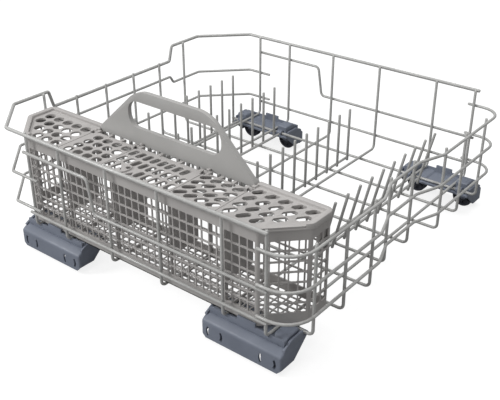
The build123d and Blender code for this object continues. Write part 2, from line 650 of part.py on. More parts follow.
os.makedirs("parts", exist_ok=True)
for name, shape in nodes.items():
    export_step(shape, f"parts/{name}.step")
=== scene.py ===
# %% [markdown]
# # A dishwasher rack with its cutlery basket
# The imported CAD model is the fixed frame: every piece below is modelled in metres in the same
# place, rides on a CAD body, and stands for the CAD nodes that it replaces.

# %% Load the frame
from math import acos, cos, pi, radians, sin, tan

import bmesh
import bpy
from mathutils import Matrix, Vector


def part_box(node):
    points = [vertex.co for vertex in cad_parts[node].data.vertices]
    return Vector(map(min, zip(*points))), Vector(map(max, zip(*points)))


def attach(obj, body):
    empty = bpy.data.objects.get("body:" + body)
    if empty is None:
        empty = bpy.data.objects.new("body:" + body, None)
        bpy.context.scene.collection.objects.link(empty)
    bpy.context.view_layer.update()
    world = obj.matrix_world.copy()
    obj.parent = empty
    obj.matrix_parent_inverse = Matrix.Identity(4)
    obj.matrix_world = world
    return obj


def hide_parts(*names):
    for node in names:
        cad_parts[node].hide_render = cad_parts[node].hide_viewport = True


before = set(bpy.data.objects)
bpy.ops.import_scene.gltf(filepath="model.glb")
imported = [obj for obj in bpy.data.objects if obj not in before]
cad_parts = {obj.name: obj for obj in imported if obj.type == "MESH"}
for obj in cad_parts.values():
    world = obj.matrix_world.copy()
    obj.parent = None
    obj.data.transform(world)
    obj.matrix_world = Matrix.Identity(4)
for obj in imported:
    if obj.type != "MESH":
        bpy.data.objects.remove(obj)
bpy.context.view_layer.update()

MM = 0.001

# %% [markdown]
# Operators act on whatever is selected and active, so a few small helpers keep that in order:
# one clears the selection, one opens a piece in edit mode, and one selects parts of it by place.


# %% Helpers for selecting
def deselect():
    """Object mode, with nothing selected."""
    if bpy.context.mode != "OBJECT":
        bpy.ops.object.mode_set(mode="OBJECT")
    bpy.ops.object.select_all(action="DESELECT")


def take(piece):
    """Selects one piece alone and makes it active."""
    deselect()
    piece.select_set(True)
    bpy.context.view_layer.objects.active = piece
    return piece


def edit(piece):
    """Opens one piece in edit mode with everything selected."""
    take(piece)
    bpy.ops.object.mode_set(mode="EDIT")
    bpy.ops.mesh.select_all(action="SELECT")


def middle(part):
    """The middle of a vertex, edge or face, in millimetres."""
    if isinstance(part, bmesh.types.BMVert):
        return part.co / MM
    return sum((v.co for v in part.verts), Vector()) / len(part.verts) / MM


def choose(piece, kind, test):
    """In edit mode, selects the vertices, edges or faces whose middle passes the test."""
    bpy.ops.mesh.select_mode(type=kind)
    bpy.ops.mesh.select_all(action="DESELECT")
    mesh = bmesh.from_edit_mesh(piece.data)
    parts = {"VERT": mesh.verts, "EDGE": mesh.edges, "FACE": mesh.faces}[kind]
    mesh.normal_update()
    for part in parts:
        if test(middle(part), part):
            part.select_set(True)
    mesh.select_flush_mode()
    bmesh.update_edit_mesh(piece.data)


def near(a, b, slack=0.01):
    """Whether two lengths are the same within a slack."""
    return abs(a - b) < slack


def extend(way):
    """Extrudes what is selected by a vector in metres."""
    bpy.ops.mesh.extrude_region_move(TRANSFORM_OT_translate={"value": way})


def pull(x=0.0, y=0.0, z=0.0):
    """Extrudes what is selected by a distance in millimetres."""
    extend((x * MM, y * MM, z * MM))


def shift(x=0.0, y=0.0, z=0.0):
    """Moves what is selected by a distance in millimetres."""
    bpy.ops.transform.translate(value=(x * MM, y * MM, z * MM))


def set_in(distance, single=False):
    """Insets the selected faces by a distance in millimetres."""
    bpy.ops.mesh.inset(thickness=distance * MM, use_individual=single)


def soften(width, segments=2, points=False):
    """Bevels the selected edges, or the selected points."""
    affect = "VERTICES" if points else "EDGES"
    bpy.ops.mesh.bevel(offset=width * MM, segments=segments, affect=affect)


def slice_off(point, normal, fill=True):
    """Cuts away what lies beyond a plane."""
    bpy.ops.mesh.select_all(action="SELECT")
    place = [v * MM for v in point]
    unit = Vector(normal).normalized()
    bpy.ops.mesh.bisect(plane_co=place, plane_no=unit, use_fill=fill, clear_outer=True)


# %% [markdown]
# More helpers shape a piece: they place a new primitive, merge doubled points and turn the faces
# outwards, apply a modifier, and copy or join pieces. Cutters reach a little past the surfaces.

# %% Helpers for shaping
PAST = 1.0
MERGE = 0.004


def freeze():
    """Applies the place, turn and scale of the active piece."""
    bpy.ops.object.transform_apply(location=True, rotation=True, scale=True)
    return bpy.context.object


def put(piece, place=(0, 0, 0), turn=(0, 0, 0)):
    """Turns a piece about the origin and moves it in millimetres."""
    take(piece)
    piece.rotation_euler = turn
    piece.location = [v * MM for v in place]
    return freeze()


def plane(place, size, turn=(0, 0, 0)):
    """A plane at its size and place in millimetres."""
    deselect()
    bpy.ops.mesh.primitive_plane_add(size=1, location=[v * MM for v in place], rotation=turn)
    bpy.context.object.scale = (size[0] * MM, size[1] * MM, 1)
    return freeze()


def block(x, y, z):
    """A cube at its size and place, given by two values on each axis in millimetres."""
    deselect()
    ranges = (x, y, z)
    place = [sum(pair) / 2 * MM for pair in ranges]
    size = [abs(pair[1] - pair[0]) * MM for pair in ranges]
    bpy.ops.mesh.primitive_cube_add(size=1, location=place)
    bpy.context.object.scale = size
    return freeze()


def around(value, size):
    """The two ends of a length about its middle."""
    return (value - size / 2, value + size / 2)


def rod(centre, radius, length, axis, sides=24):
    """A cylinder along one axis, in millimetres."""
    deselect()
    turn = {"X": (0, pi / 2, 0), "Y": (pi / 2, 0, 0), "Z": (0, 0, 0)}[axis]
    place = [v * MM for v in centre]
    bpy.ops.mesh.primitive_cylinder_add(
        vertices=sides, radius=radius * MM, depth=length * MM, location=place, rotation=turn
    )
    return freeze()


def close_up(piece):
    """Merges doubled points and turns the faces outwards."""
    edit(piece)
    bpy.ops.mesh.select_mode(type="VERT")
    bpy.ops.mesh.select_all(action="SELECT")
    bpy.ops.mesh.remove_doubles(threshold=MERGE * MM)
    bpy.ops.mesh.normals_make_consistent(inside=False)
    deselect()
    return piece


def modify(piece, kind, **values):
    """Adds a modifier, sets its values and applies it."""
    take(piece)
    modifier = piece.modifiers.new(kind.lower(), kind)
    for name, value in values.items():
        setattr(modifier, name, value)
    bpy.ops.object.modifier_apply(modifier=modifier.name)
    return piece


def soften_where(piece, test, width, segments, kind="EDGE"):
    """Bevels the edges of a piece, or of its faces, that pass a test."""
    edit(piece)
    choose(piece, kind, test)
    soften(width, segments)
    deselect()
    return piece


def thicken(piece, thickness, offset):
    """Gives a skin its thickness in millimetres."""
    modify(piece, "SOLIDIFY", thickness=thickness * MM, offset=offset, use_even_offset=True)


def carve(piece, cutter):
    """Cuts the shape of one piece out of another, and drops the cutter."""
    modify(piece, "BOOLEAN", object=cutter, operation="DIFFERENCE", solver="EXACT", use_self=True)
    bpy.data.objects.remove(cutter)
    return piece


def round_edges(piece, width, segments=2, angle=35):
    """A bevel modifier on the sharp edges, as the corner radius of a mould."""
    limit = {"limit_method": "ANGLE", "angle_limit": radians(angle)}
    return modify(piece, "BEVEL", width=width * MM, segments=segments, **limit)


def repeat(piece, count, step):
    """Copies a piece in a row, each copy merged to the last."""
    return modify(
        piece,
        "ARRAY",
        count=count,
        use_relative_offset=False,
        use_constant_offset=True,
        constant_offset_displace=[v * MM for v in step],
        use_merge_vertices=True,
        merge_threshold=0.01 * MM,
    )


def join(pieces):
    """Makes one piece of several."""
    deselect()
    for piece in pieces:
        piece.select_set(True)
    bpy.context.view_layer.objects.active = pieces[0]
    if len(pieces) > 1:
        bpy.ops.object.join()
    return bpy.context.object


def twin(piece, move=(0, 0, 0), flip=(1, 1, 1)):
    """A copy with its own mesh, moved in millimetres or mirrored."""
    take(piece)
    bpy.ops.object.duplicate(linked=False)
    copy = bpy.context.object
    copy.location = [v * MM for v in move]
    copy.scale = flip
    return freeze()


def triangles(piece):
    """How many triangles a piece has."""
    return sum(len(face.vertices) - 2 for face in piece.data.polygons)


def tell(label, *pieces):
    """Prints how many triangles each piece has."""
    print(label + ", triangles:", [triangles(piece) for piece in pieces])


def settle(piece, name, body, slot, nodes, angle=40):
    """Names a finished piece, shades it, gives it its finish and sets it on its body."""
    take(piece)
    bpy.ops.object.shade_smooth_by_angle(angle=radians(angle))
    piece.name = name
    piece.data.name = name
    piece.data.materials.clear()
    piece.data.materials.append(finishes[slot])
    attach(piece, body)
    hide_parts(*nodes)
    return piece


# %% [markdown]
# ## Finishes
# All the surfaces are moulded or coated plastic. Up close such a skin is never even: the pigment
# flows, the gloss changes a little, and spark erosion of the mould leaves a fine grain. One node
# group makes these three from noise in object space, and each finish places it with its own values.


# %% The shared plastic skin
def srgb(*levels):
    """A colour from its screen levels, 0 to 255, as the linear values that the nodes use."""
    return tuple((level / 255) ** 2.2 for level in levels) + (1.0,)


def link(tree, source, output, target, entry):
    """Leads one node's output to another node's input."""
    tree.links.new(source.outputs[output], target.inputs[entry])


def add_node(tree, kind, **values):
    """A new shader node. The values are for its inputs, with _ for a space in a name."""
    node = tree.nodes.new("ShaderNode" + kind)
    for name, value in values.items():
        node.inputs[name.replace("_", " ")].default_value = value
    return node


def add_sockets(group, in_out, kind, labels):
    """Gives a node group sockets of one kind."""
    for label in labels:
        group.interface.new_socket(name=label, in_out=in_out, socket_type=kind)


skin = bpy.data.node_groups.new("plastic_skin", "ShaderNodeTree")
add_sockets(skin, "INPUT", "NodeSocketColor", ("Light", "Deep"))
numbers = ("Flow Scale", "Grain Scale", "Smoothest", "Roughest")
add_sockets(skin, "INPUT", "NodeSocketFloat", numbers)
add_sockets(skin, "OUTPUT", "NodeSocketColor", ("Color",))
add_sockets(skin, "OUTPUT", "NodeSocketFloat", ("Roughness", "Height"))
skin_in = skin.nodes.new("NodeGroupInput")
skin_out = skin.nodes.new("NodeGroupOutput")
coords = add_node(skin, "TexCoord").outputs["Object"]


def noise(detail, roughness=0.5):
    """A noise in object space."""
    node = add_node(skin, "TexNoise", Detail=detail, Roughness=roughness)
    skin.links.new(coords, node.inputs["Vector"])
    return node


def stretch(source):
    """Widens the middle values of a noise to a whole range."""
    node = add_node(skin, "MapRange", From_Min=0.3, From_Max=0.7)
    link(skin, source, "Fac", node, "Value")
    return node


flow = noise(4.0, 0.6)
gloss = noise(3.0)
grain = noise(2.0)
link(skin, skin_in, "Flow Scale", flow, "Scale")
link(skin, skin_in, "Grain Scale", grain, "Scale")
gloss.inputs["Scale"].default_value = 55.0
pigment = stretch(flow)
blend = add_node(skin, "Mix")
blend.data_type = "RGBA"
link(skin, pigment, "Result", blend, "Factor")
link(skin, skin_in, "Deep", blend, "A")
link(skin, skin_in, "Light", blend, "B")
sheen = stretch(gloss)
link(skin, skin_in, "Smoothest", sheen, "To Min")
link(skin, skin_in, "Roughest", sheen, "To Max")
link(skin, blend, "Result", skin_out, "Color")
link(skin, sheen, "Result", skin_out, "Roughness")
link(skin, grain, "Fac", skin_out, "Height")


GRAIN_STRENGTH = 0.35


def plastic(name, light, deep, flow_scale, grain_scale, smoothest, roughest, grain_depth):
    """A finish of one plastic: two close tones, a range of gloss, and a grain of the mould."""
    finish = bpy.data.materials.new(name)
    finish.use_nodes = True
    tree = finish.node_tree
    shader = tree.nodes["Principled BSDF"]
    surface = add_node(tree, "Group")
    surface.node_tree = skin
    values = (srgb(*light), srgb(*deep), flow_scale, grain_scale, smoothest, roughest)
    for socket, value in zip(surface.inputs, values):
        socket.default_value = value
    bump = add_node(tree, "Bump", Strength=GRAIN_STRENGTH, Distance=grain_depth * MM)
    link(tree, surface, "Height", bump, "Height")
    link(tree, surface, "Color", shader, "Base Color")
    link(tree, surface, "Roughness", shader, "Roughness")
    link(tree, bump, "Normal", shader, "Normal")
    shader.inputs["IOR"].default_value = 1.5
    finish.diffuse_color = srgb(*light)
    return finish


# %% [markdown]
# The wires are dipped in grey nylon. The tub, the lids and the handle are moulded in three close
# greys, the wheel carriers in blue grey, and the wheels in a dark one.

# %% The six finishes
FINISHES = {
    "coated_wire": ((186, 186, 184), (170, 170, 168), 26, 700, 0.24, 0.36, 0.10),
    "tub_plastic": ((180, 177, 175), (170, 167, 165), 14, 900, 0.42, 0.56, 0.12),
    "lid_plastic": ((178, 175, 173), (168, 165, 163), 16, 900, 0.42, 0.56, 0.12),
    "handle_plastic": ((176, 175, 173), (167, 166, 164), 12, 900, 0.45, 0.58, 0.14),
    "carrier_plastic": ((122, 128, 141), (111, 117, 130), 24, 900, 0.40, 0.54, 0.12),
    "wheel_plastic": ((74, 76, 84), (62, 64, 72), 40, 900, 0.38, 0.52, 0.12),
}
finishes = {name: plastic(name, *values) for name, values in FINISHES.items()}
print("Finishes:", list(finishes))

# %% [markdown]
# ## Wires
# Each wire of the rack is one steel rod, bent cold and coated. Here it starts as a small disc that
# is extruded along the straight runs and spun round each bend. The coating draws back into a dome
# at a cut end, so the first and last rings shrink.

# %% One bent wire
WIRE = 4.0
DOME = ((0.0, 0.42), (0.16, 0.78), (0.5, 1.0))
BEND_STEP = radians(15)
SMOOTH_BELOW = 60


def grow(along, run, at, scale):
    """Extrudes the disc and scales it about its own middle."""
    extend(run * along)
    at = at + run * along
    bpy.ops.transform.resize(value=(scale, scale, scale), center_override=at)
    return at


def bent_wire(points, radius, dia=WIRE, sides=12):
    """A round wire through the points, with one bend radius or one for each corner."""
    route = [Vector(point) * MM for point in points]
    corners = len(route) - 2
    radii = radius if isinstance(radius, (list, tuple)) else [radius] * corners
    half = dia / 2 * MM
    run = (route[1] - route[0]).normalized()
    deselect()
    bpy.ops.mesh.primitive_circle_add(
        vertices=sides,
        radius=half * DOME[0][1],
        fill_type="NGON",
        location=route[0],
        rotation=run.to_track_quat("Z", "Y").to_euler(),
    )
    piece = freeze()
    edit(piece)
    at = route[0]
    for (back, small), (ahead, large) in zip(DOME, DOME[1:]):
        at = grow((ahead - back) * half, run, at, large / small)
    for before, corner, after, bend in zip(route, route[1:], route[2:], radii):
        arrive = (corner - before).normalized()
        leave = (after - corner).normalized()
        turn = acos(max(-1.0, min(1.0, arrive.dot(leave))))
        reach = bend * MM * tan(turn / 2)
        extend(corner - arrive * reach - at)
        centre = corner + (leave - arrive).normalized() * (bend * MM / cos(turn / 2))
        steps = max(2, round(turn / BEND_STEP))
        bpy.ops.mesh.spin(steps=steps, angle=-turn, center=centre, axis=arrive.cross(leave))
        at = corner + leave * reach
        run = leave
    goal = route[-1] - run * half * DOME[-1][0]
    extend(goal - at)
    at = goal
    for (ahead, large), (back, small) in zip(DOME[::-1], DOME[-2::-1]):
        at = grow((ahead - back) * half, run, at, small / large)
    return close_up(piece)


def corners_of(node):
    """The lowest and highest corner of a CAD node in millimetres."""
    low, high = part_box(node)
    return low / MM, high / MM


def settle_wire(piece, node):
    """Sets a wire on the rack in place of a CAD node."""
    return settle(piece, node + "_round", "rack", "coated_wire", [node], SMOOTH_BELOW)


def wire_piece(node, points, radius, dia=WIRE):
    """One bent wire in place of a CAD node."""
    return settle_wire(bent_wire(points, radius, dia), node)


# %% [markdown]
# The floor is a grid of U-shaped wires: six run from front to back, six from left to right below
# them. Their places are read from the CAD nodes, which are eight-sided and otherwise the same.

# %% Floor wires
BEND = 7.0
half = WIRE / 2
cross_x = []
for number in range(1, 7):
    low, high = corners_of(f"cross_wire_{number}")
    x = (low.x + high.x) / 2
    cross_x.append(x)
    uprights = (high.y - half, low.y + half)
    rear = [(x, uprights[0], high.z), (x, uprights[0], low.z + half)]
    front = [(x, uprights[1], low.z + half), (x, uprights[1], high.z)]
    wire_piece(f"cross_wire_{number}", rear + front, BEND)
cross_z = low.z + half
upright_y = high.y - half
right_top = corners_of("front_clip_wire")[1].z
for number in range(1, 7):
    low, high = corners_of(f"long_wire_{number}")
    y = (low.y + high.y) / 2
    left = [(low.x + half, y, high.z), (low.x + half, y, low.z + half)]
    right = [(high.x - half, y, low.z + half), (high.x - half, y, right_top)]
    wire_piece(f"long_wire_{number}", left + right, BEND)
for side in ("front", "rear"):
    low, high = corners_of(f"{side}_clip_wire")
    y = (low.y + high.y) / 2
    z = low.z + half
    end = high.x - half
    wire_piece(f"{side}_clip_wire", [(low.x, y, z), (end, y, z), (end, y, high.z)], BEND)
print("Cross wires at X =", [round(x, 2) for x in cross_x])
print("Uprights at Y = +-", round(upright_y, 2))

# %% [markdown]
# The sides are wires welded to the outside of the uprights. Round the left end they cut both
# corners at 45 degrees, and the rim dips where the upper rack has to pass.

# %% Left side and rim
REAR_CUT = 64.0
FRONT_CUT = 57.0
DIP_REAR_Y = 121.0
DIP_FRONT_Y = -132.0
DIP_RUN = 7.0
SIDE_BEND = 7.0


def round_left(node, dia, dip):
    """The route from the rear round the left side to the front, lower by dip on the way."""
    low, high = corners_of(node)
    x = low.x + dia / 2
    y = high.y - dia / 2
    z = (high.z if dip >= 0 else low.z) + (-dia / 2 if dip >= 0 else dia / 2)
    rear = [(high.x, y, z), (x + REAR_CUT, y, z), (x, y - REAR_CUT, z)]
    front = [(x, -y + FRONT_CUT, z), (x + FRONT_CUT, -y, z), (high.x, -y, z)]
    steps = []
    for place, first, second in ((DIP_REAR_Y, 0, dip), (DIP_FRONT_Y, dip, 0)):
        steps += [(x, place + DIP_RUN / 2, z - first), (x, place - DIP_RUN / 2, z - second)]
    return rear + (steps if dip else []) + front


def side_bends(step_bend):
    """The bend radii of a wire with two steps on the left side."""
    return [SIDE_BEND] * 2 + [step_bend] * 4 + [SIDE_BEND] * 2


RIM_WIRE = 4.8
RIM_DIP = 25.0
RIM_STEP_BEND = 3.6
MIDDLE_DIP = -11.5
MIDDLE_STEP_BEND = 5.0
rim_route = round_left("rim_wire", RIM_WIRE, RIM_DIP)
wire_piece("rim_wire", rim_route, side_bends(RIM_STEP_BEND), RIM_WIRE)
middle_route = round_left("left_middle_wire", WIRE, MIDDLE_DIP)
wire_piece("left_middle_wire", middle_route, side_bends(MIDDLE_STEP_BEND))
wire_piece("left_lower_wire", round_left("left_lower_wire", WIRE, 0), SIDE_BEND)
print("Bends in the rim wire:", len(rim_route) - 2)

# %% [markdown]
# At the front and the rear a straight wire runs low, and a stepped one runs higher on the left
# than on the right. Round the right end three wires turn in a wide arc and are set in at the
# middle.

# %% Front, rear and right side
STEP_X = (-54.35, -46.35)
for side in ("front", "rear"):
    low, high = corners_of(f"{side}_middle_wire")
    y = (low.y + high.y) / 2
    top, bottom = high.z - half, low.z + half
    stepped = [(low.x, y, top), (STEP_X[0], y, top), (STEP_X[1], y, bottom), (high.x, y, bottom)]
    wire_piece(f"{side}_middle_wire", stepped, SIDE_BEND)
    low, high = corners_of(f"{side}_lower_wire")
    z = (low.z + high.z) / 2
    wire_piece(f"{side}_lower_wire", [(low.x, y, z), (high.x, y, z)], SIDE_BEND)

SET_IN = 14.0
SET_IN_Y = 35.5
SET_IN_RUN = 40.0
REAR_ARC = 28.0
FRONT_ARC = 37.0
SET_IN_BEND = 14.0
for level in ("upper", "middle", "lower"):
    low, high = corners_of(f"right_{level}_wire")
    x = high.x - half
    y = high.y - half
    z = (low.z + high.z) / 2
    rear = [(low.x, y, z), (x, y, z), (x, SET_IN_Y + SET_IN_RUN, z), (x - SET_IN, SET_IN_Y, z)]
    front = [(x - SET_IN, -SET_IN_Y, z), (x, -SET_IN_Y - SET_IN_RUN, z), (x, -y, z), (low.x, -y, z)]
    bends = [REAR_ARC] + [SET_IN_BEND] * 4 + [FRONT_ARC]
    wire_piece(f"right_{level}_wire", rear + front, bends)
    print(f"Right {level} wire at Z =", round(z, 1))

# %% [markdown]
# The plates stand between tines, short rods welded upright to the side of a base wire. One tine is
# drawn as a wire with a domed tip, and the Array modifier repeats it along the row.

# %% Tine rows
TINES = 10
TINE_PITCH = 29.0
TINE_STUB = 25.0
TINE_OFFSET = 4.06
TINE_TIP = 128.03
TINE_ROWS = ((1, -1, 0.0), (2, -1, 0.0), (3, 1, 0.0), (4, 1, 20.0))
for number, side, lean in TINE_ROWS:
    node = f"tine_row_{number}"
    low, high = corners_of(node)
    base_x = high.x - half if side < 0 else low.x + half
    first_y = low.y + TINE_STUB
    base = bent_wire([(base_x, low.y, cross_z), (base_x, high.y, cross_z)], 0)
    x = base_x + side * TINE_OFFSET
    tine = bent_wire([(x, first_y, low.z), (x + lean, first_y, TINE_TIP)], 0)
    repeat(tine, TINES, (0, TINE_PITCH, 0))
    settle_wire(join([base, tine]), node)

# %% [markdown]
# ## Cutlery basket: the tub
# The tub is one moulding with walls of small openings. One opening is modelled as a plane with an
# inset hole and rounded corners, Array modifiers repeat it into a bay, and the bay's edges are
# extruded into the plain posts and bands round it. Solidify then gives the walls their thickness.

# %% Sizes of the tub, from its CAD node
tub_low, tub_high = corners_of("cutlery_tub")
left, front, bottom = tub_low
right, rear, top = tub_high
handle_low, handle_high = corners_of("basket_handle")
lid_boxes = [corners_of(f"lid_{number}") for number in range(1, 6)]
seams = [(a[1].x + b[0].x) / 2 for a, b in zip(lid_boxes, lid_boxes[1:])]
LEFT_CORNER = 40.0
RIGHT_CORNER = 44.0
COMPARTMENTS = (113.3, 88.0, 91.0, 86.0)
LID_SUNK = 3.0
LID_REST = 0.15
RIM_PROUD = 3.5
RIM_WIDTH = 6.5
RIM_BAND = 8.0
LID_LEDGE = 2.5
WALL = 2.4
LATTICE_WALL = 1.7
FLOOR_THICK = 1.3
LID_THICK = 2.4
HINGE_INSET = 15.5
dividers_x = [left + sum(COMPARTMENTS[: i + 1]) for i in range(len(COMPARTMENTS))]
hinge_y = rear - HINGE_INSET
lid_top = top - LID_SUNK
hinge_z = lid_top - LID_THICK / 2
ledge_top = lid_top - LID_THICK - LID_REST
rim_foot = top - RIM_BAND
print("Tub in mm:", [round(v, 1) for v in (left, right, front, rear, bottom, top)])
print("Dividers at X =", [round(x, 1) for x in dividers_x])
print("Lids meet at X =", [round(x, 1) for x in seams])

# %% One bay of openings
UPRIGHT_WEB = 1.6
CROSS_WEB = 2.0
HOLE_CORNER = 0.9


def lattice_bay(along, low, high, columns, rows, post):
    """A flat bay of openings on the XZ plane, with a plain post at each end."""
    pitch = (along[1] - along[0] - 2 * post) / columns
    rise = (high - low) / rows
    x = along[0] + post + pitch / 2
    z = low + rise / 2
    cell = plane((x, 0, z), (pitch, rise), (pi / 2, 0, 0))
    edit(cell)
    set_in(UPRIGHT_WEB / 2)
    for way in (1, -1):
        choose(cell, "VERT", lambda p, v: near(p.z, z + way * (rise - UPRIGHT_WEB) / 2))
        shift(z=-way * (CROSS_WEB - UPRIGHT_WEB) / 2)
    choose(cell, "VERT", lambda p, v: abs(p.x - x) < pitch / 2 - UPRIGHT_WEB / 4)
    soften(HOLE_CORNER, 2, points=True)
    choose(cell, "FACE", lambda p, f: near(p.x, x) and near(p.z, z))
    bpy.ops.mesh.delete(type="FACE")
    repeat(cell, columns, (pitch, 0, 0))
    repeat(cell, rows, (0, 0, rise))
    edit(cell)
    for edge_x, step in ((along[0] + post, -post), (along[1] - post, post)):
        choose(cell, "EDGE", lambda p, e: e.is_boundary and near(p.x, edge_x))
        pull(x=step)
    return cell


# %% Walls
LATTICE_LOW = 14.2
LATTICE_HIGH = 21.2
ROWS = 7
REAR_ROWS = 4
COLUMN_PITCH = 11.1
REAR_PITCH = 29.0
POST = 2.5
lattice_low = bottom + LATTICE_LOW
lattice_high = top - LATTICE_HIGH


def plan(inset):
    """The corners of the tub's plan, moved in: rear left, round the front, rear right."""
    cut = [corner + inset * (2**0.5 - 1) for corner in (LEFT_CORNER, RIGHT_CORNER)]
    x = (left + inset, right - inset)
    y = (front + inset, rear - inset)
    left_side = [(x[0], y[1]), (x[0], front + cut[0]), (left + cut[0], y[0])]
    return left_side + [(right - cut[1], y[0]), (x[1], front + cut[1]), (x[1], y[1])]


def slice_corners(inset, z, fill):
    """Slices the two front corners off the mesh in edit mode, on lines moved in by inset."""
    for side, corner, way in ((left, LEFT_CORNER, -1), (right, RIGHT_CORNER, 1)):
        cut = corner / 2 + inset / 2**0.5
        slice_off((side - way * cut, front + cut, z), (way, -1, 0), fill=fill)


def wall(start, end, pitch, rows):
    """A wall from one corner of the plan to the next, with a plain post at each end."""
    direction = Vector((end[0] - start[0], end[1] - start[1]))
    columns = max(1, round((direction.length - 2 * POST) / pitch))
    piece = lattice_bay((0.0, direction.length), lattice_low, lattice_high, columns, rows, POST)
    for level, goal in ((lattice_high, rim_foot), (lattice_low, bottom)):
        choose(piece, "EDGE", lambda p, e: e.is_boundary and near(p.z, level))
        pull(z=goal - level)
    return put(piece, (*start, 0), (0, 0, direction.angle_signed(Vector((1, 0)))))


outline = plan(RIM_PROUD)
walls = [wall(a, b, COLUMN_PITCH, ROWS) for a, b in zip(outline, outline[1:])]
walls.append(wall(outline[-1], outline[0], REAR_PITCH, REAR_ROWS))
walls = close_up(join(walls))
thicken(walls, LATTICE_WALL, -1)
tell("Walls", walls)

# %% [markdown]
# The floor is the same kind of bay laid flat, with the two front corners sliced off.

# %% Floor of the tub
FLOOR_COLUMNS = 42
FLOOR_ROWS = 9
floor_x = (left + RIM_PROUD, right - RIM_PROUD)
floor_y = (front + RIM_PROUD, rear - RIM_PROUD)
grate = lattice_bay(floor_x, *floor_y, FLOOR_COLUMNS, FLOOR_ROWS, POST / 2)
put(grate, (0, 0, bottom), (-pi / 2, 0, 0))
edit(grate)
slice_corners(RIM_PROUD + LATTICE_WALL / 2, bottom, fill=False)
deselect()
thicken(grate, FLOOR_THICK, 1)
tell("Floor", grate)

# %% [markdown]
# The rim stands proud of the walls and holds the lids in a step. It starts as a plane of the whole
# plan: the corners are sliced off, the plane is extruded, and its top is inset and pushed down
# twice, for the step and for the ledge below it. Along the front and the right corner the rim is
# only as high as the ledge, and the lids lie over it.

# %% Rim of the tub
tub_x = (left + right) / 2
rim = plane((tub_x, (front + rear) / 2, rim_foot), (right - left, rear - front))
edit(rim)
slice_corners(0.0, rim_foot, fill=False)
bpy.ops.mesh.select_all(action="SELECT")
pull(z=RIM_BAND)
choose(rim, "FACE", lambda p, f: near(p.z, top))
set_in(RIM_WIDTH)
pull(z=ledge_top - top)
set_in(LID_LEDGE)
pull(z=rim_foot - ledge_top)
bpy.ops.mesh.delete(type="FACE")
choose(rim, "FACE", lambda p, f: near(p.z, rim_foot) and abs(f.normal.z) > 0.9)
set_in(RIM_WIDTH + LID_LEDGE)
bpy.ops.mesh.delete(type="FACE")
close_up(rim)
HANDLE_GAP = 0.15
seat_x = (handle_low.x - HANDLE_GAP, handle_high.x + HANDLE_GAP)
carve(rim, block(seat_x, (handle_low.y - HANDLE_GAP, rear + PAST), (rim_foot - PAST, top + PAST)))
REAR_ROUND = 9.0
FRONT_ROUND = 3.0
edit(rim)
for corners, width in ((plan(0)[1:-1], FRONT_ROUND), (plan(0)[::5], REAR_ROUND)):
    points = [Vector(corner) for corner in corners]
    choose(rim, "EDGE", lambda p, e: any((p.xy - point).length < 0.1 for point in points))
    soften(width, 5)
deselect()
tell("Plain rim", rim)

# %% [markdown]
# The strips above the ledge are cut away, the hinge bores are drilled, and then every sharp edge
# is rounded except those of the bores.

# %% Strips, bores and edges of the rim
LID_GAP = 0.8
STRIP = RIM_WIDTH + 0.3
STRIP_ENDS = (2.0, 3.0)
CORNER_PAST = (5.0, 3.0)
strip_left = left + LEFT_CORNER + RIM_WIDTH + LID_GAP + STRIP_ENDS[0]
strip_x = (strip_left, right - RIGHT_CORNER + STRIP_ENDS[1])
strip_z = (ledge_top, top + PAST)
carve(rim, block(strip_x, (front - PAST, front + STRIP), strip_z))
cut_half = RIGHT_CORNER * 2**0.5 / 2
corner_x = (-cut_half - CORNER_PAST[0], cut_half)
corner_strip = block(corner_x, (-CORNER_PAST[1], STRIP), strip_z)
put(corner_strip, (right - RIGHT_CORNER / 2, front + RIGHT_CORNER / 2, 0), (0, 0, pi / 4))
edit(corner_strip)
slice_off((right - RIM_WIDTH, front, top), (1, 0, 0))
deselect()
carve(rim, corner_strip)
SLOT = 1.88
BORE_DEPTH = 2.0
RIM_ROUND = 0.7
SHARP = radians(35)
FLAT = radians(1)
hinge_line = Vector((hinge_y, hinge_z))
rim_inside = right - left - 2 * RIM_WIDTH
carve(rim, rod((tub_x, hinge_y, hinge_z), SLOT, rim_inside + 2 * BORE_DEPTH, "X"))


def is_mould_edge(p, edge):
    """Whether an edge is sharp and does not belong to a bore."""
    return edge.calc_face_angle(0) > SHARP and (p.yz - hinge_line).length > SLOT + 0.1


edit(close_up(rim))
bpy.ops.mesh.dissolve_limited(angle_limit=FLAT)
choose(rim, "EDGE", is_mould_edge)
soften(RIM_ROUND, 2)
deselect()
tell("Rim", rim)

# %% [markdown]
# Behind the lids the rear wall is low, so that there is daylight below the handle. Inside, four
# dividers part the tub, each closed only in its upper front part and an open frame elsewhere.

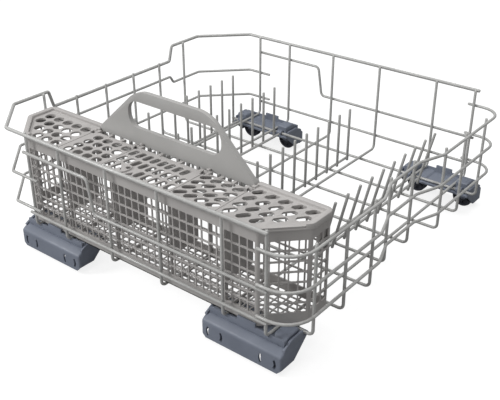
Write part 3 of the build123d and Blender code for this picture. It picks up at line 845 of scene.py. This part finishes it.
# %% Rear wall below the handle, and dividers
DIVIDER = 2.2
DIVIDER_SOLID = 50.0
DIVIDER_SOLID_LOW = 84.0
DIVIDER_FRAME = 7.0
DIVIDER_ROUND = 4.0
DIVIDER_TOP = ledge_top - 3.0
HANDLE_FOOT_TOP = 157.5
carve(walls, block(seat_x, (handle_low.y, rear + PAST), (HANDLE_FOOT_TOP, rim_foot + PAST)))
inner_y = (front + RIM_PROUD + LATTICE_WALL, rear - RIM_PROUD - LATTICE_WALL)
divider_z = (bottom + FLOOR_THICK, DIVIDER_TOP)
fittings = []
for x in dividers_x:
    divider = block(around(x, DIVIDER), inner_y, divider_z)
    open_rear = inner_y[1] - DIVIDER_FRAME / 2
    rear_y = (inner_y[0] + DIVIDER_SOLID, open_rear)
    rear_z = (divider_z[0] + DIVIDER_FRAME / 2, divider_z[1] - DIVIDER_FRAME)
    foot_y = (inner_y[0] + DIVIDER_FRAME / 2, open_rear)
    for opening_y, opening_z in ((rear_y, rear_z), (foot_y, (rear_z[0], DIVIDER_SOLID_LOW))):
        opening = block(around(x, 3 * DIVIDER), opening_y, opening_z)
        soften_where(opening, lambda p, e: near(p.x, x), DIVIDER_ROUND, 4)
        carve(divider, opening)
    fittings.append(round_edges(divider, 0.5, 2))
tell("Dividers", *fittings)

# %% [markdown]
# Ears between the lids carry the lids' pins in slots that are open at the top. At both ends of the
# tub the pins turn in bores in the rim, above a lower bracket. Beside the handle two decks close
# the rear, level with the lids, over a shelf.

# %% Ears, decks and shelves
EAR = 5.0
EAR_RADIUS = 3.1
EAR_FOOT = 24.0
SWING = 4.5
IN_WALL = 0.3
ear_y = (hinge_y - EAR_RADIUS, inner_y[1] + IN_WALL)
ear_z = (handle_low.z - EAR_FOOT, hinge_z + EAR_RADIUS)
bracket_z = (ear_z[0], hinge_z - SWING)
ends_x = (left + RIM_WIDTH + EAR / 2, right - RIM_WIDTH - EAR / 2)
ears = [block(around(x, EAR), ear_y, ear_z) for x in seams]
ears += [block(around(x, EAR), ear_y, bracket_z) for x in ends_x]
ears = join(ears)
slot = rod((tub_x, hinge_y, hinge_z), SLOT, rim_inside, "X")
edit(slot)
choose(slot, "VERT", lambda p, v: p.z > hinge_z + 0.01)
shift(z=2 * EAR_RADIUS)
deselect()
carve(ears, slot)
seat_z = (handle_low.z - HANDLE_GAP, top + PAST)
carve(ears, block(seat_x, (handle_low.y - HANDLE_GAP, rear), seat_z))
round_edges(ears, 0.35, 2)
IN_RIM = 0.5
DECK_CLEAR = 0.8
SHELF_DEPTH = 15.0
SHELF_Z = (164.0, 165.6)
deck_y = (hinge_y + EAR / 2**0.5 + DECK_CLEAR, rear - RIM_WIDTH + IN_RIM)
shelf_y = (inner_y[1] - SHELF_DEPTH, inner_y[1] + IN_WALL)
decks_x = ((left + RIM_WIDTH - IN_RIM, seat_x[0]), (seat_x[1], right - RIM_WIDTH + IN_RIM))
for deck_x in decks_x:
    deck = block(deck_x, deck_y, (rim_foot, lid_top - 0.05))
    shelf = block(deck_x, shelf_y, SHELF_Z)
    fittings += [round_edges(deck, 0.5, 2), round_edges(shelf, 0.5, 2)]
tub = join([walls, grate, rim, ears] + fittings)
settle(tub, "cutlery_tub_lattice", "rack", "tub_plastic", ["cutlery_tub"], 50)
tell("Tub", tub)

# %% [markdown]
# ## Lids
# Each of the five lids has its own openings: rounded hexagons in the first two, narrow slots in the
# third and slanted ovals in the last two. One cutter is shaped for each pattern, copied over a
# grid, and taken out of the plate with a Boolean.

# %% Cutters for the openings
ARM = 5.0
CUT_DEPTH = 14.0


def hexagon(across):
    """A prism of six sides with rounded corners."""
    cutter = rod((0, 0, hinge_z), across / 2, CUT_DEPTH, "Z", sides=6)
    return soften_where(cutter, lambda p, e: near(p.z, hinge_z), across * 0.2, 2)


def oval(length, width, turn):
    """A prism with round ends, turned about Z by some degrees."""
    cutter = rod((0, 0, hinge_z), width / 2, CUT_DEPTH, "Z", sides=16)
    edit(cutter)
    for way in (1, -1):
        choose(cutter, "VERT", lambda p, v: p.x * way > 0.01)
        shift(x=way * (length - width) / 2)
    return put(cutter, turn=(0, 0, radians(turn)))


def reach(cutter, direction):
    """How far a cutter reaches from its middle in a direction, in millimetres."""
    return max(v.co.dot(direction) for v in cutter.data.vertices) / MM


# %% Rows of openings for one lid
MARGIN = 0.8
slant = 1 / 2**0.5


def perforate(plate, cutter, x_range, corner_inset, plain, first, pitch, rows, lean):
    """Copies the cutter over a grid wherever it keeps a margin, and cuts them all at once."""
    inset = corner_inset + MARGIN
    limits = [
        (Vector((-1, 0, 0)), x_range[0] + MARGIN),
        (Vector((1, 0, 0)), -x_range[1] + MARGIN),
        (Vector((-slant, -slant, 0)), (left + front + LEFT_CORNER) * slant + inset),
        (Vector((slant, -slant, 0)), (front + RIGHT_CORNER - right) * slant + inset),
    ]
    copies = []
    for i, y in enumerate(rows):
        x = first - lean * i
        while x < x_range[1]:
            place = Vector((x, y, 0))
            is_plain = plain[0] < x < plain[1] and y == rows[-1]
            fits = all(-place.dot(way) - reach(cutter, way) > limit for way, limit in limits)
            if fits and not is_plain:
                copies.append(twin(cutter, (x, y, 0)))
            x += pitch
    bpy.data.objects.remove(cutter)
    print("Openings:", len(copies))
    return carve(plate, join(copies))


# %% [markdown]
# The end lids turn on one long barrel. The others hang on four arms with daylight between them,
# and every lid has a pin at each side that snaps into the ears.

# %% Lid plates, arms and pins
LID_OVERLAP = 0.5
lid_front = front + LID_OVERLAP
FIRST_ROWS = (-183.7, -200.6, -217.8, -234.2)
SECOND_ROWS = (-190.8, -205.8, -221.0, -235.6)
SLOT_ROWS = (-194.0, -213.3, -232.2)
FOURTH_ROWS = (-187.6, -202.8, -218.2, -233.0)
LAST_ROWS = (-178.0, -195.8, -213.4, -230.4)
patterns = [
    (lambda: hexagon(16.8), -200.6, 17.8, FIRST_ROWS, 0.0),
    (lambda: hexagon(15.4), -97.2, 17.2, SECOND_ROWS, 2.0),
    (lambda: oval(16.4, 8.6, 80), -28.6, 12.3, SLOT_ROWS, 1.3),
    (lambda: oval(17.4, 9.0, 38), 86.2, 16.4, FOURTH_ROWS, 0.5),
    (lambda: oval(18.0, 9.4, 50), 157.0, 18.6, LAST_ROWS, 0.0),
]
PIN = 1.75
PIN_LENGTH = 2.2
NOTCH = 6.0
HINGE_REACH = 4.1
PLATE_BACK = 3.6
EAR_CLEAR = 0.4
plate_back = hinge_y - PLATE_BACK
lid_bottom = lid_top - LID_THICK
LATCH_PLAIN = (-16.0, 14.0)
LATCH_X = (-21.0, 1.5)
LATCH_Y = (lid_front + 1.5, -223.0)
LATCH_RISE = 1.8
LATCH_HOLE = (-2.6, -229.4, 3.3)
SLIT_MIDDLE = (-14.2, -231.3)
SLIT = (19.0, 1.7)
SLIT_TURN = radians(-43.5)
LATCH_ROUND = 7.0
NOTCH_MIDDLE = (8.5, lid_front + 6.0)
NOTCH_RADIUS = 6.0


def latch(plate):
    """A latch on the front of the lid: a tongue with a hole, between a slit and a notch."""
    z = (lid_bottom, lid_top + LATCH_RISE)
    body = block(LATCH_X, LATCH_Y, z)
    edit(body)
    choose(body, "EDGE", lambda p, e: near(p.x, LATCH_X[1], 0.1) and near(p.z, sum(z) / 2, 0.1))
    soften(LATCH_ROUND, 6)
    slice_off((*SLIT_MIDDLE, lid_top), (sin(SLIT_TURN), -cos(SLIT_TURN), 0))
    deselect()
    slit = block(around(0, SLIT[0]), around(0, SLIT[1]), around(lid_top, CUT_DEPTH))
    put(slit, (*SLIT_MIDDLE, 0), (0, 0, SLIT_TURN))
    carve(body, twin(slit))
    carve(plate, slit)
    for piece in (body, plate):
        carve(piece, rod((*LATCH_HOLE[:2], lid_top), LATCH_HOLE[2], CUT_DEPTH, "Z", 24))
    carve(plate, rod((*NOTCH_MIDDLE, hinge_z), NOTCH_RADIUS, CUT_DEPTH, "Z", 3))
    return [round_edges(body, 0.6, 2)]


def is_barrel_edge(p, edge):
    """Whether an edge of an arm runs along its rear, above or below the hinge."""
    return near(p.y, hinge_y + ARM / 2) and abs(p.z - hinge_z) > 1


lids = []
for number, ((low, high), pattern) in enumerate(zip(lid_boxes, patterns), 1):
    cutter, *grid = pattern
    is_end = number in (1, 5)
    corner_inset = RIM_WIDTH + LID_GAP if number == 1 else LID_OVERLAP
    plate_rear = hinge_y + HINGE_REACH if is_end else plate_back
    plate = block((low.x, high.x), (lid_front, plate_rear), (lid_bottom, lid_top))
    if is_end:
        edit(plate)
        slice_corners(corner_inset, lid_top, fill=True)
        deselect()
    at_ear = EAR / 2 + EAR_CLEAR
    arms_x = (low.x if number == 1 else low.x + at_ear, high.x if number == 5 else high.x - at_ear)
    notch_y = (plate_back - NOTCH, plate_rear + PAST)
    for notch_x in ((low.x - PAST, arms_x[0]), (arms_x[1], high.x + PAST)):
        if notch_x[1] - notch_x[0] > at_ear:
            carve(plate, block(notch_x, notch_y, (lid_bottom - PAST, lid_top + PAST)))
    parts = [plate]
    if is_end:
        arms = [arms_x]
    else:
        step = (arms_x[1] - arms_x[0] - ARM) / 3
        arms = [(arms_x[0] + i * step, arms_x[0] + i * step + ARM) for i in range(4)]
    for arm_x in arms:
        crown = lid_top - 0.02 if is_end else hinge_z + ARM / 2
        reach_y = hinge_y - ARM / 2 if is_end else plate_back - LID_THICK
        arm = block(arm_x, (reach_y, hinge_y + ARM / 2), (hinge_z - ARM / 2, crown))
        soften_where(arm, is_barrel_edge, 1.1 if is_end else 2.3, 3)
        parts.append(round_edges(arm, 0.3, 1))
    if is_end:
        parts = [join(parts)]
    plain = LATCH_PLAIN if number == 3 else (0, 0)
    perforate(parts[0], cutter(), (low.x, high.x), corner_inset, plain, *grid)
    round_edges(parts[0], 0.3, 1, 50)
    if number == 3:
        parts += latch(parts[0])
    for x, way in ((arms_x[0], -1), (arms_x[1], 1)):
        pin = rod((x + way * PIN_LENGTH / 2, hinge_y, hinge_z), PIN, PIN_LENGTH, "X", 16)
        parts.append(soften_where(pin, lambda p, f: f.normal.x * way > 0.9, 0.5, 2, "FACE"))
    node = f"lid_{number}"
    lids.append(settle(join(parts), node + "_perforated", node, "lid_plastic", [node]))
tell("Lids", *lids)

# %% [markdown]
# ## Handle
# The handle is an arched plate hooked over the rear wall of the tub. A block is sliced along the
# two shoulders and rounded, the grip is cut through it, and its rear face is inset and pushed in,
# so that it is a thin front with a flange round its edges, as such mouldings are. Below the lids'
# level only narrow legs go down to the wall, with daylight between them.

# %% Handle plate and grip
HANDLE_TOP = (-57.0, 62.0)
HANDLE_WALL = 3.0
SHOULDER_ROUND = 17.0
BASE_ROUND = 9.0
handle_middle = (handle_low.x + handle_high.x) / 2
handle = block(*zip(handle_low, handle_high))
edit(handle)
rise = handle_high.z - top
for base, shoulder, way in zip((handle_low.x, handle_high.x), HANDLE_TOP, (-1, 1)):
    spread = abs(base - handle_middle - shoulder)
    slice_off((base, handle_low.y, top), (way * rise, 0, spread))
middle_y = (handle_low.y + handle_high.y) / 2
for level, width, steps in ((handle_high.z, SHOULDER_ROUND, 8), (top, BASE_ROUND, 4)):
    soften_where(handle, lambda p, e: near(p.z, level) and near(p.y, middle_y), width, steps)
GRIP_BAR = 15.0
GRIP_HEIGHT = 36.5
GRIP_HALF = 77.0
GRIP_SHIFT = 3.0
GRIP_ROUND = 0.44 * GRIP_HEIGHT
grip_z = (handle_high.z - GRIP_BAR - GRIP_HEIGHT, handle_high.z - GRIP_BAR)
grip_x = around(handle_middle + GRIP_SHIFT, 2 * GRIP_HALF)
grip = block(grip_x, (handle_low.y - PAST, handle_high.y + PAST), grip_z)
soften_where(grip, lambda p, e: near(p.y, middle_y), GRIP_ROUND, 8)
carve(handle, grip)
edit(handle)
choose(handle, "FACE", lambda p, f: f.normal.y > 0.9)
set_in(HANDLE_WALL)
pull(y=handle_low.y + HANDLE_WALL - handle_high.y)
deselect()
FLANGE_DEPTH = 6.0
FLANGE_FOOT = 2.0
wall_y = rear - RIM_PROUD - WALL - HANDLE_GAP
carve(handle, block(seat_x, (wall_y, rear + PAST), (handle_low.z - PAST, rim_foot + HANDLE_GAP)))
flange_y = (handle_low.y + FLANGE_DEPTH, rear + PAST)
carve(handle, block(seat_x, flange_y, (top + FLANGE_FOOT, handle_high.z + PAST)))
WINDOWS = 15
WINDOW_SHARE = 0.76
WINDOW_MARGIN = 7.0
WINDOW_Z = (HANDLE_FOOT_TOP, 172.6)
window_step = (handle_high.x - handle_low.x - 2 * WINDOW_MARGIN) / WINDOWS
windows = []
for i in range(WINDOWS):
    x = handle_low.x + WINDOW_MARGIN + (i + 0.5) * window_step
    window_x = around(x, WINDOW_SHARE * window_step)
    windows.append(block(window_x, (handle_low.y - PAST, rear + PAST), WINDOW_Z))
carve(handle, join(windows))
round_edges(handle, 0.7, 3)
settle(handle, "basket_handle_arch", "rack", "handle_plastic", ["basket_handle"])
tell("Handle", handle)

# %% [markdown]
# ## Wheel carriers
# Four carriers roll on the door and the tub rails. Each is a housing round two wheels and a saddle
# that clips to the wires. One carrier is modelled at the front left, and the other three are
# copies, moved to the right or mirrored to the rear.

# %% Housing shell
house_low, house_high = corners_of("front_left_wheel_housing")
middle_x = (house_low.x + house_high.x) / 2
AXLE_Z = 16.0
AXLE_HALF = 39.0
SKIN = 2.4
SHOULDER_Z = 29.0
SHELF_Y = -246.0
SKIRT_CORNER = 6.0
SHELL_ROUND = 2.6
shell = block(*zip(house_low, house_high))
edit(shell)
shoulder = (0, SHOULDER_Z - house_high.z, SHELF_Y - house_low.y)
slice_off((middle_x, house_low.y, SHOULDER_Z), shoulder)
for x, way in ((house_low.x, -1), (house_high.x, 1)):
    slice_off((x, house_low.y, house_low.z + SKIRT_CORNER), (way, 0, -1))
choose(shell, "FACE", lambda p, f: f.normal.z < -0.5 or f.normal.y > 0.9)
bpy.ops.mesh.delete(type="FACE")
soften_where(shell, lambda p, e: not e.is_boundary, SHELL_ROUND, 4)
thicken(shell, SKIN, -1)
tell("Shell", shell)

# %% Lower edge of the cheeks
CHEEK_Y = (-243.5, -200.0)
CHEEK_FOOT = 7.8
WEDGE_Y = (-233.0, -200.0)
WEDGE_Z = (9.5, 32.5)
WEDGE_NORMAL = (0, -17.0, 19.0)
cheek_x = (house_low.x - PAST, house_high.x + PAST)
carve(shell, block(cheek_x, CHEEK_Y, (0, CHEEK_FOOT)))
wedge = block(cheek_x, WEDGE_Y, (0, WEDGE_Z[1]))
edit(wedge)
slice_off((middle_x, WEDGE_Y[0], WEDGE_Z[0]), WEDGE_NORMAL)
deselect()
carve(shell, wedge)
tell("Shell with cheeks", shell)

# %% [markdown]
# Beside each axle the skirt has two curved slots, where the mould's core came through. A small
# rectangle is spun about the axle to make the cutter.


# %% Curved slots
def curved_slot(axle_x, side):
    """A cutter that follows an arc beside an axle."""
    radius, width, half_turn = 10.8, 3.3, radians(33)
    angle = -half_turn if side > 0 else pi - half_turn
    place = (axle_x + radius * cos(angle), house_low.y, AXLE_Z + radius * sin(angle))
    cutter = plane(place, (width, 3 * SKIN), (0, -angle, 0))
    edit(cutter)
    axle = (axle_x * MM, house_low.y * MM, AXLE_Z * MM)
    bpy.ops.mesh.spin(steps=8, angle=2 * half_turn, center=axle, axis=(0, 1, 0))
    return close_up(cutter)


axles_x = (middle_x - AXLE_HALF, middle_x + AXLE_HALF)
for axle_x in axles_x:
    for side in (-1, 1):
        carve(shell, curved_slot(axle_x, side))
round_edges(shell, 0.5, 2)
tell("Shell with slots", shell)

# %% Axles
BOSS = 6.5
STUB = 4.0
COLLAR = 13.4
COLLAR_Y = (-251.2, -249.6)
BOSS_Y = (house_low.y + SKIN - 0.3, -244.9)
STUB_Y = (-244.9, -233.1)
BARB = (10.6, 4.0)
BARB_Y = (STUB_Y[1] - 0.2, STUB_Y[1] + 2.0)
axles = []
for axle_x in axles_x:
    boss = rod((axle_x, sum(BOSS_Y) / 2, AXLE_Z), BOSS, BOSS_Y[1] - BOSS_Y[0], "Y", 32)
    edit(boss)
    choose(boss, "FACE", lambda p, f: f.normal.y > 0.9)
    set_in(BOSS - STUB)
    pull(y=STUB_Y[1] - STUB_Y[0])
    soften(0.6, 2)
    deselect()
    collar = rod((axle_x, sum(COLLAR_Y) / 2, AXLE_Z), COLLAR, COLLAR_Y[1] - COLLAR_Y[0], "Y", 32)
    axles.append(round_edges(collar, 0.5, 2))
    barb = block(around(axle_x, BARB[0]), BARB_Y, around(AXLE_Z, BARB[1]))
    axles += [boss, round_edges(barb, 0.6, 2)]
housing = join([shell] + axles)
tell("Housing with axles", housing)

# %% [markdown]
# Over each end of the deck the cheek rises in a rounded fender, and beside it a hood covers the
# wheel. Under the tub the hoods are low, and at the rear they are taller.


# %% Fenders and hoods
def rounded_rise(x_range, y_range, z_range, slope, width):
    """A block with a slanted front and rounded upper edges."""
    rise = block(x_range, y_range, z_range)
    edit(rise)
    height = (z_range[1] - z_range[0]) * 0.75
    fold = z_range[1] - height
    slice_off((x_range[0], y_range[0], fold), (0, -height, slope))
    return soften_where(rise, lambda p, e: p.z > fold - 0.1 and len(e.link_faces) == 2, width, 4)


DECK_Z = house_high.z
FENDER = 3.6
FENDER_Y = (-250.0, -213.2)
FENDER_Z = (DECK_Z - 2.0, 42.4)
FENDER_SHAPE = (14.0, 1.4)
fenders = []
for ends in ((house_low.x, house_low.x + FENDER), (house_high.x - FENDER, house_high.x)):
    fenders.append(rounded_rise(ends, FENDER_Y, FENDER_Z, *FENDER_SHAPE))
housing = join([housing] + fenders)
HOOD_X = (34.0, 53.0)
HOOD_Y = (-242.4, -213.2)
HOOD_TOP = {"front": 43.6, "rear": 49.5}
HOOD_SHAPE = (8.0, 2.2)
hoods = {}
for end, hood_top in HOOD_TOP.items():
    pair = []
    for way in (-1, 1):
        hood_x = sorted(middle_x + way * x for x in HOOD_X)
        pair.append(rounded_rise(hood_x, HOOD_Y, (DECK_Z + 1.0, hood_top), *HOOD_SHAPE))
    hoods[end] = join(pair)
tell("Housing and hoods", housing, *hoods.values())

# %% [markdown]
# The saddle has many small steps that the CAD model already holds, so its mesh is copied, merged,
# cleared of the triangles' edges and given the small radii of the mould.


# %% Saddle
def softened_copy(node, width, segments=2):
    """A merged copy of a CAD node with rounded edges."""
    take(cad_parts[node])
    bpy.ops.object.duplicate(linked=False)
    copy = bpy.context.object
    for key in list(copy.keys()):
        del copy[key]
    copy.parent = None
    edit(copy)
    bpy.ops.mesh.remove_doubles(threshold=MERGE * MM)
    bpy.ops.mesh.dissolve_limited(angle_limit=FLAT)
    deselect()
    return round_edges(copy, width, segments)


saddle = softened_copy("front_left_wire_saddle", 0.7)
tell("Saddle", saddle)

# %% [markdown]
# A wheel is a short cylinder: its faces are inset and pushed in between tread and hub, the tread is
# rounded, and ribs run from the hub to the tread on both sides.

# %% Wheel
WHEEL = 16.0
WHEEL_Y = (-244.5, -233.5)
TREAD_RADIUS = WHEEL - 0.02
TREAD = 3.2
WEB = 5.4
WEB_DEPTH = 3.0
WEB_STEPS = (0.6, 0.4)
HUB_WALL = 6.36 - 4.08
TREAD_ROUND = 1.2
RIBS = 6
RIB = 1.6
RIB_Y = (WHEEL_Y[0] + 0.6, WHEEL_Y[1] - 0.6)
RIB_REACH = (6.0, 13.2)
wheel_x = axles_x[0]
wheel_y = sum(WHEEL_Y) / 2
wheel = rod((wheel_x, wheel_y, AXLE_Z), TREAD_RADIUS, WHEEL_Y[1] - WHEEL_Y[0], "Y", 48)
edit(wheel)
choose(wheel, "FACE", lambda p, f: abs(f.normal.y) > 0.9)
for ring, step, depth in zip((TREAD, WEB), WEB_STEPS, (-WEB_DEPTH, WEB_DEPTH)):
    set_in(ring, single=True)
    bpy.ops.mesh.inset(thickness=step * MM, depth=depth * MM, use_individual=True)
set_in(HUB_WALL, single=True)
bpy.ops.mesh.delete(type="FACE")
choose(wheel, "EDGE", lambda p, e: e.is_boundary)
bpy.ops.mesh.bridge_edge_loops()


def on_tread(vert):
    """Whether a vertex is as far from the axle as the tread."""
    x, z = vert.co.x / MM - wheel_x, vert.co.z / MM - AXLE_Z
    return near(x * x + z * z, TREAD_RADIUS**2, 1)


choose(wheel, "EDGE", lambda p, e: all(map(on_tread, e.verts)) and not near(p.y, wheel_y))
soften(TREAD_ROUND, 3)
deselect()
ribs = []
for i in range(RIBS):
    rib = round_edges(block(around(0, RIB), RIB_Y, RIB_REACH), 0.3, 1)
    ribs.append(put(rib, (wheel_x, 0, AXLE_Z), (0, i * 2 * pi / RIBS, 0)))
wheel = join([close_up(wheel)] + ribs)
tell("Wheel", wheel)

# %% Copies for the four carriers
to_right = corners_of("front_right_wheel_housing")[0].x - house_low.x
for end in ("front", "rear"):
    for side in ("left", "right"):
        move = (to_right if side == "right" else 0, 0, 0)
        flip = (1, -1 if end == "rear" else 1, 1)
        name = f"{end}_{side}"
        parts = [("wheel_housing", [housing]), ("wire_saddle", [saddle, hoods[end]])]
        for part, models in parts:
            piece = close_up(join([twin(model, move, flip) for model in models]))
            node = f"{name}_{part}"
            settle(piece, node + "_moulding", "rack", "carrier_plastic", [node])
        for number, step in ((1, 0.0), (2, 2 * AXLE_HALF)):
            node = f"{name}_wheel_{number}"
            piece = close_up(twin(wheel, (move[0] + step, 0, 0), flip))
            settle(piece, node + "_ribbed", node, "wheel_plastic", [node])
        print("Carrier and wheels:", name)
for model in (housing, saddle, wheel, *hoods.values()):
    bpy.data.objects.remove(model)

# %% [markdown]
# ## Camera and studio
# The photograph looks down on the front right corner from about 0.4 m above the rack. The
# background is plain white: the floor and the world show white to the camera, and the floor keeps
# a soft shadow because part of what it shows is lit by the lamps.

# %% Camera
CAMERA_PLACE = (0.6679, -0.84015, 0.6281)
CAMERA_TURN = (radians(60.96), 0, radians(38.39))
bpy.ops.object.camera_add(location=CAMERA_PLACE, rotation=CAMERA_TURN)
camera = bpy.context.object
camera.data.sensor_width = 36.0
camera.data.lens = 60.02
camera.data.clip_start = 0.05
camera.data.clip_end = 50.0
bpy.context.scene.camera = camera
print("Camera in m:", CAMERA_PLACE)


# %% Floor, world and lamps
def seen_directly(tree):
    """1 where the camera itself looks at a surface, and 0 for light that it bounces."""
    return add_node(tree, "LightPath").outputs["Is Camera Ray"]


FLOOR_SIZE = 14.0
FLOOR_GREY = (0.3, 0.3, 0.3, 1)
WHITE = (1, 1, 1, 1)
FLOOR_GLOW = 0.82
WORLD_LIGHT = 0.36
deselect()
bpy.ops.mesh.primitive_plane_add(size=FLOOR_SIZE, location=(0, 0, 0))
floor = bpy.context.object
floor.name = "studio_floor"
floor_paint = bpy.data.materials.new("studio_floor")
floor_paint.use_nodes = True
tree = floor_paint.node_tree
tree.nodes.clear()
matt = add_node(tree, "BsdfDiffuse", Color=FLOOR_GREY)
glow = add_node(tree, "Emission", Color=WHITE)
strength = add_node(tree, "Math")
strength.operation = "MULTIPLY"
strength.inputs[1].default_value = FLOOR_GLOW
tree.links.new(seen_directly(tree), strength.inputs[0])
link(tree, strength, "Value", glow, "Strength")
both = add_node(tree, "AddShader")
result = add_node(tree, "OutputMaterial")
link(tree, matt, "BSDF", both, 0)
link(tree, glow, "Emission", both, 1)
link(tree, both, "Shader", result, "Surface")
floor.data.materials.append(floor_paint)

world = bpy.data.worlds.new("studio")
bpy.context.scene.world = world
world.use_nodes = True
tree = world.node_tree
sky = tree.nodes["Background"]
sky.inputs["Color"].default_value = WHITE
level = add_node(tree, "MapRange", To_Min=WORLD_LIGHT, To_Max=1.0)
tree.links.new(seen_directly(tree), level.inputs["Value"])
link(tree, level, "Result", sky, "Strength")


LAMP_AIM = Vector((0, 0, 0.1))


def lamp(name, place, power, size):
    """A square soft box that looks at the rack."""
    deselect()
    bpy.ops.object.light_add(type="AREA", location=place)
    light = bpy.context.object
    light.name = name
    light.rotation_euler = (LAMP_AIM - Vector(place)).to_track_quat("-Z", "Y").to_euler()
    light.data.energy = power
    light.data.size = size
    return light


lamps = [
    lamp("key_soft_box", (-1.5, -1.7, 1.6), 36.0, 0.7),
    lamp("front_soft_box", (0.0, -2.1, 1.0), 6.0, 1.2),
    lamp("top_soft_box", (0.2, 0.2, 2.4), 28.0, 1.6),
]
bpy.context.scene.view_settings.view_transform = "Standard"
print("Lamps:", [light.name for light in lamps])
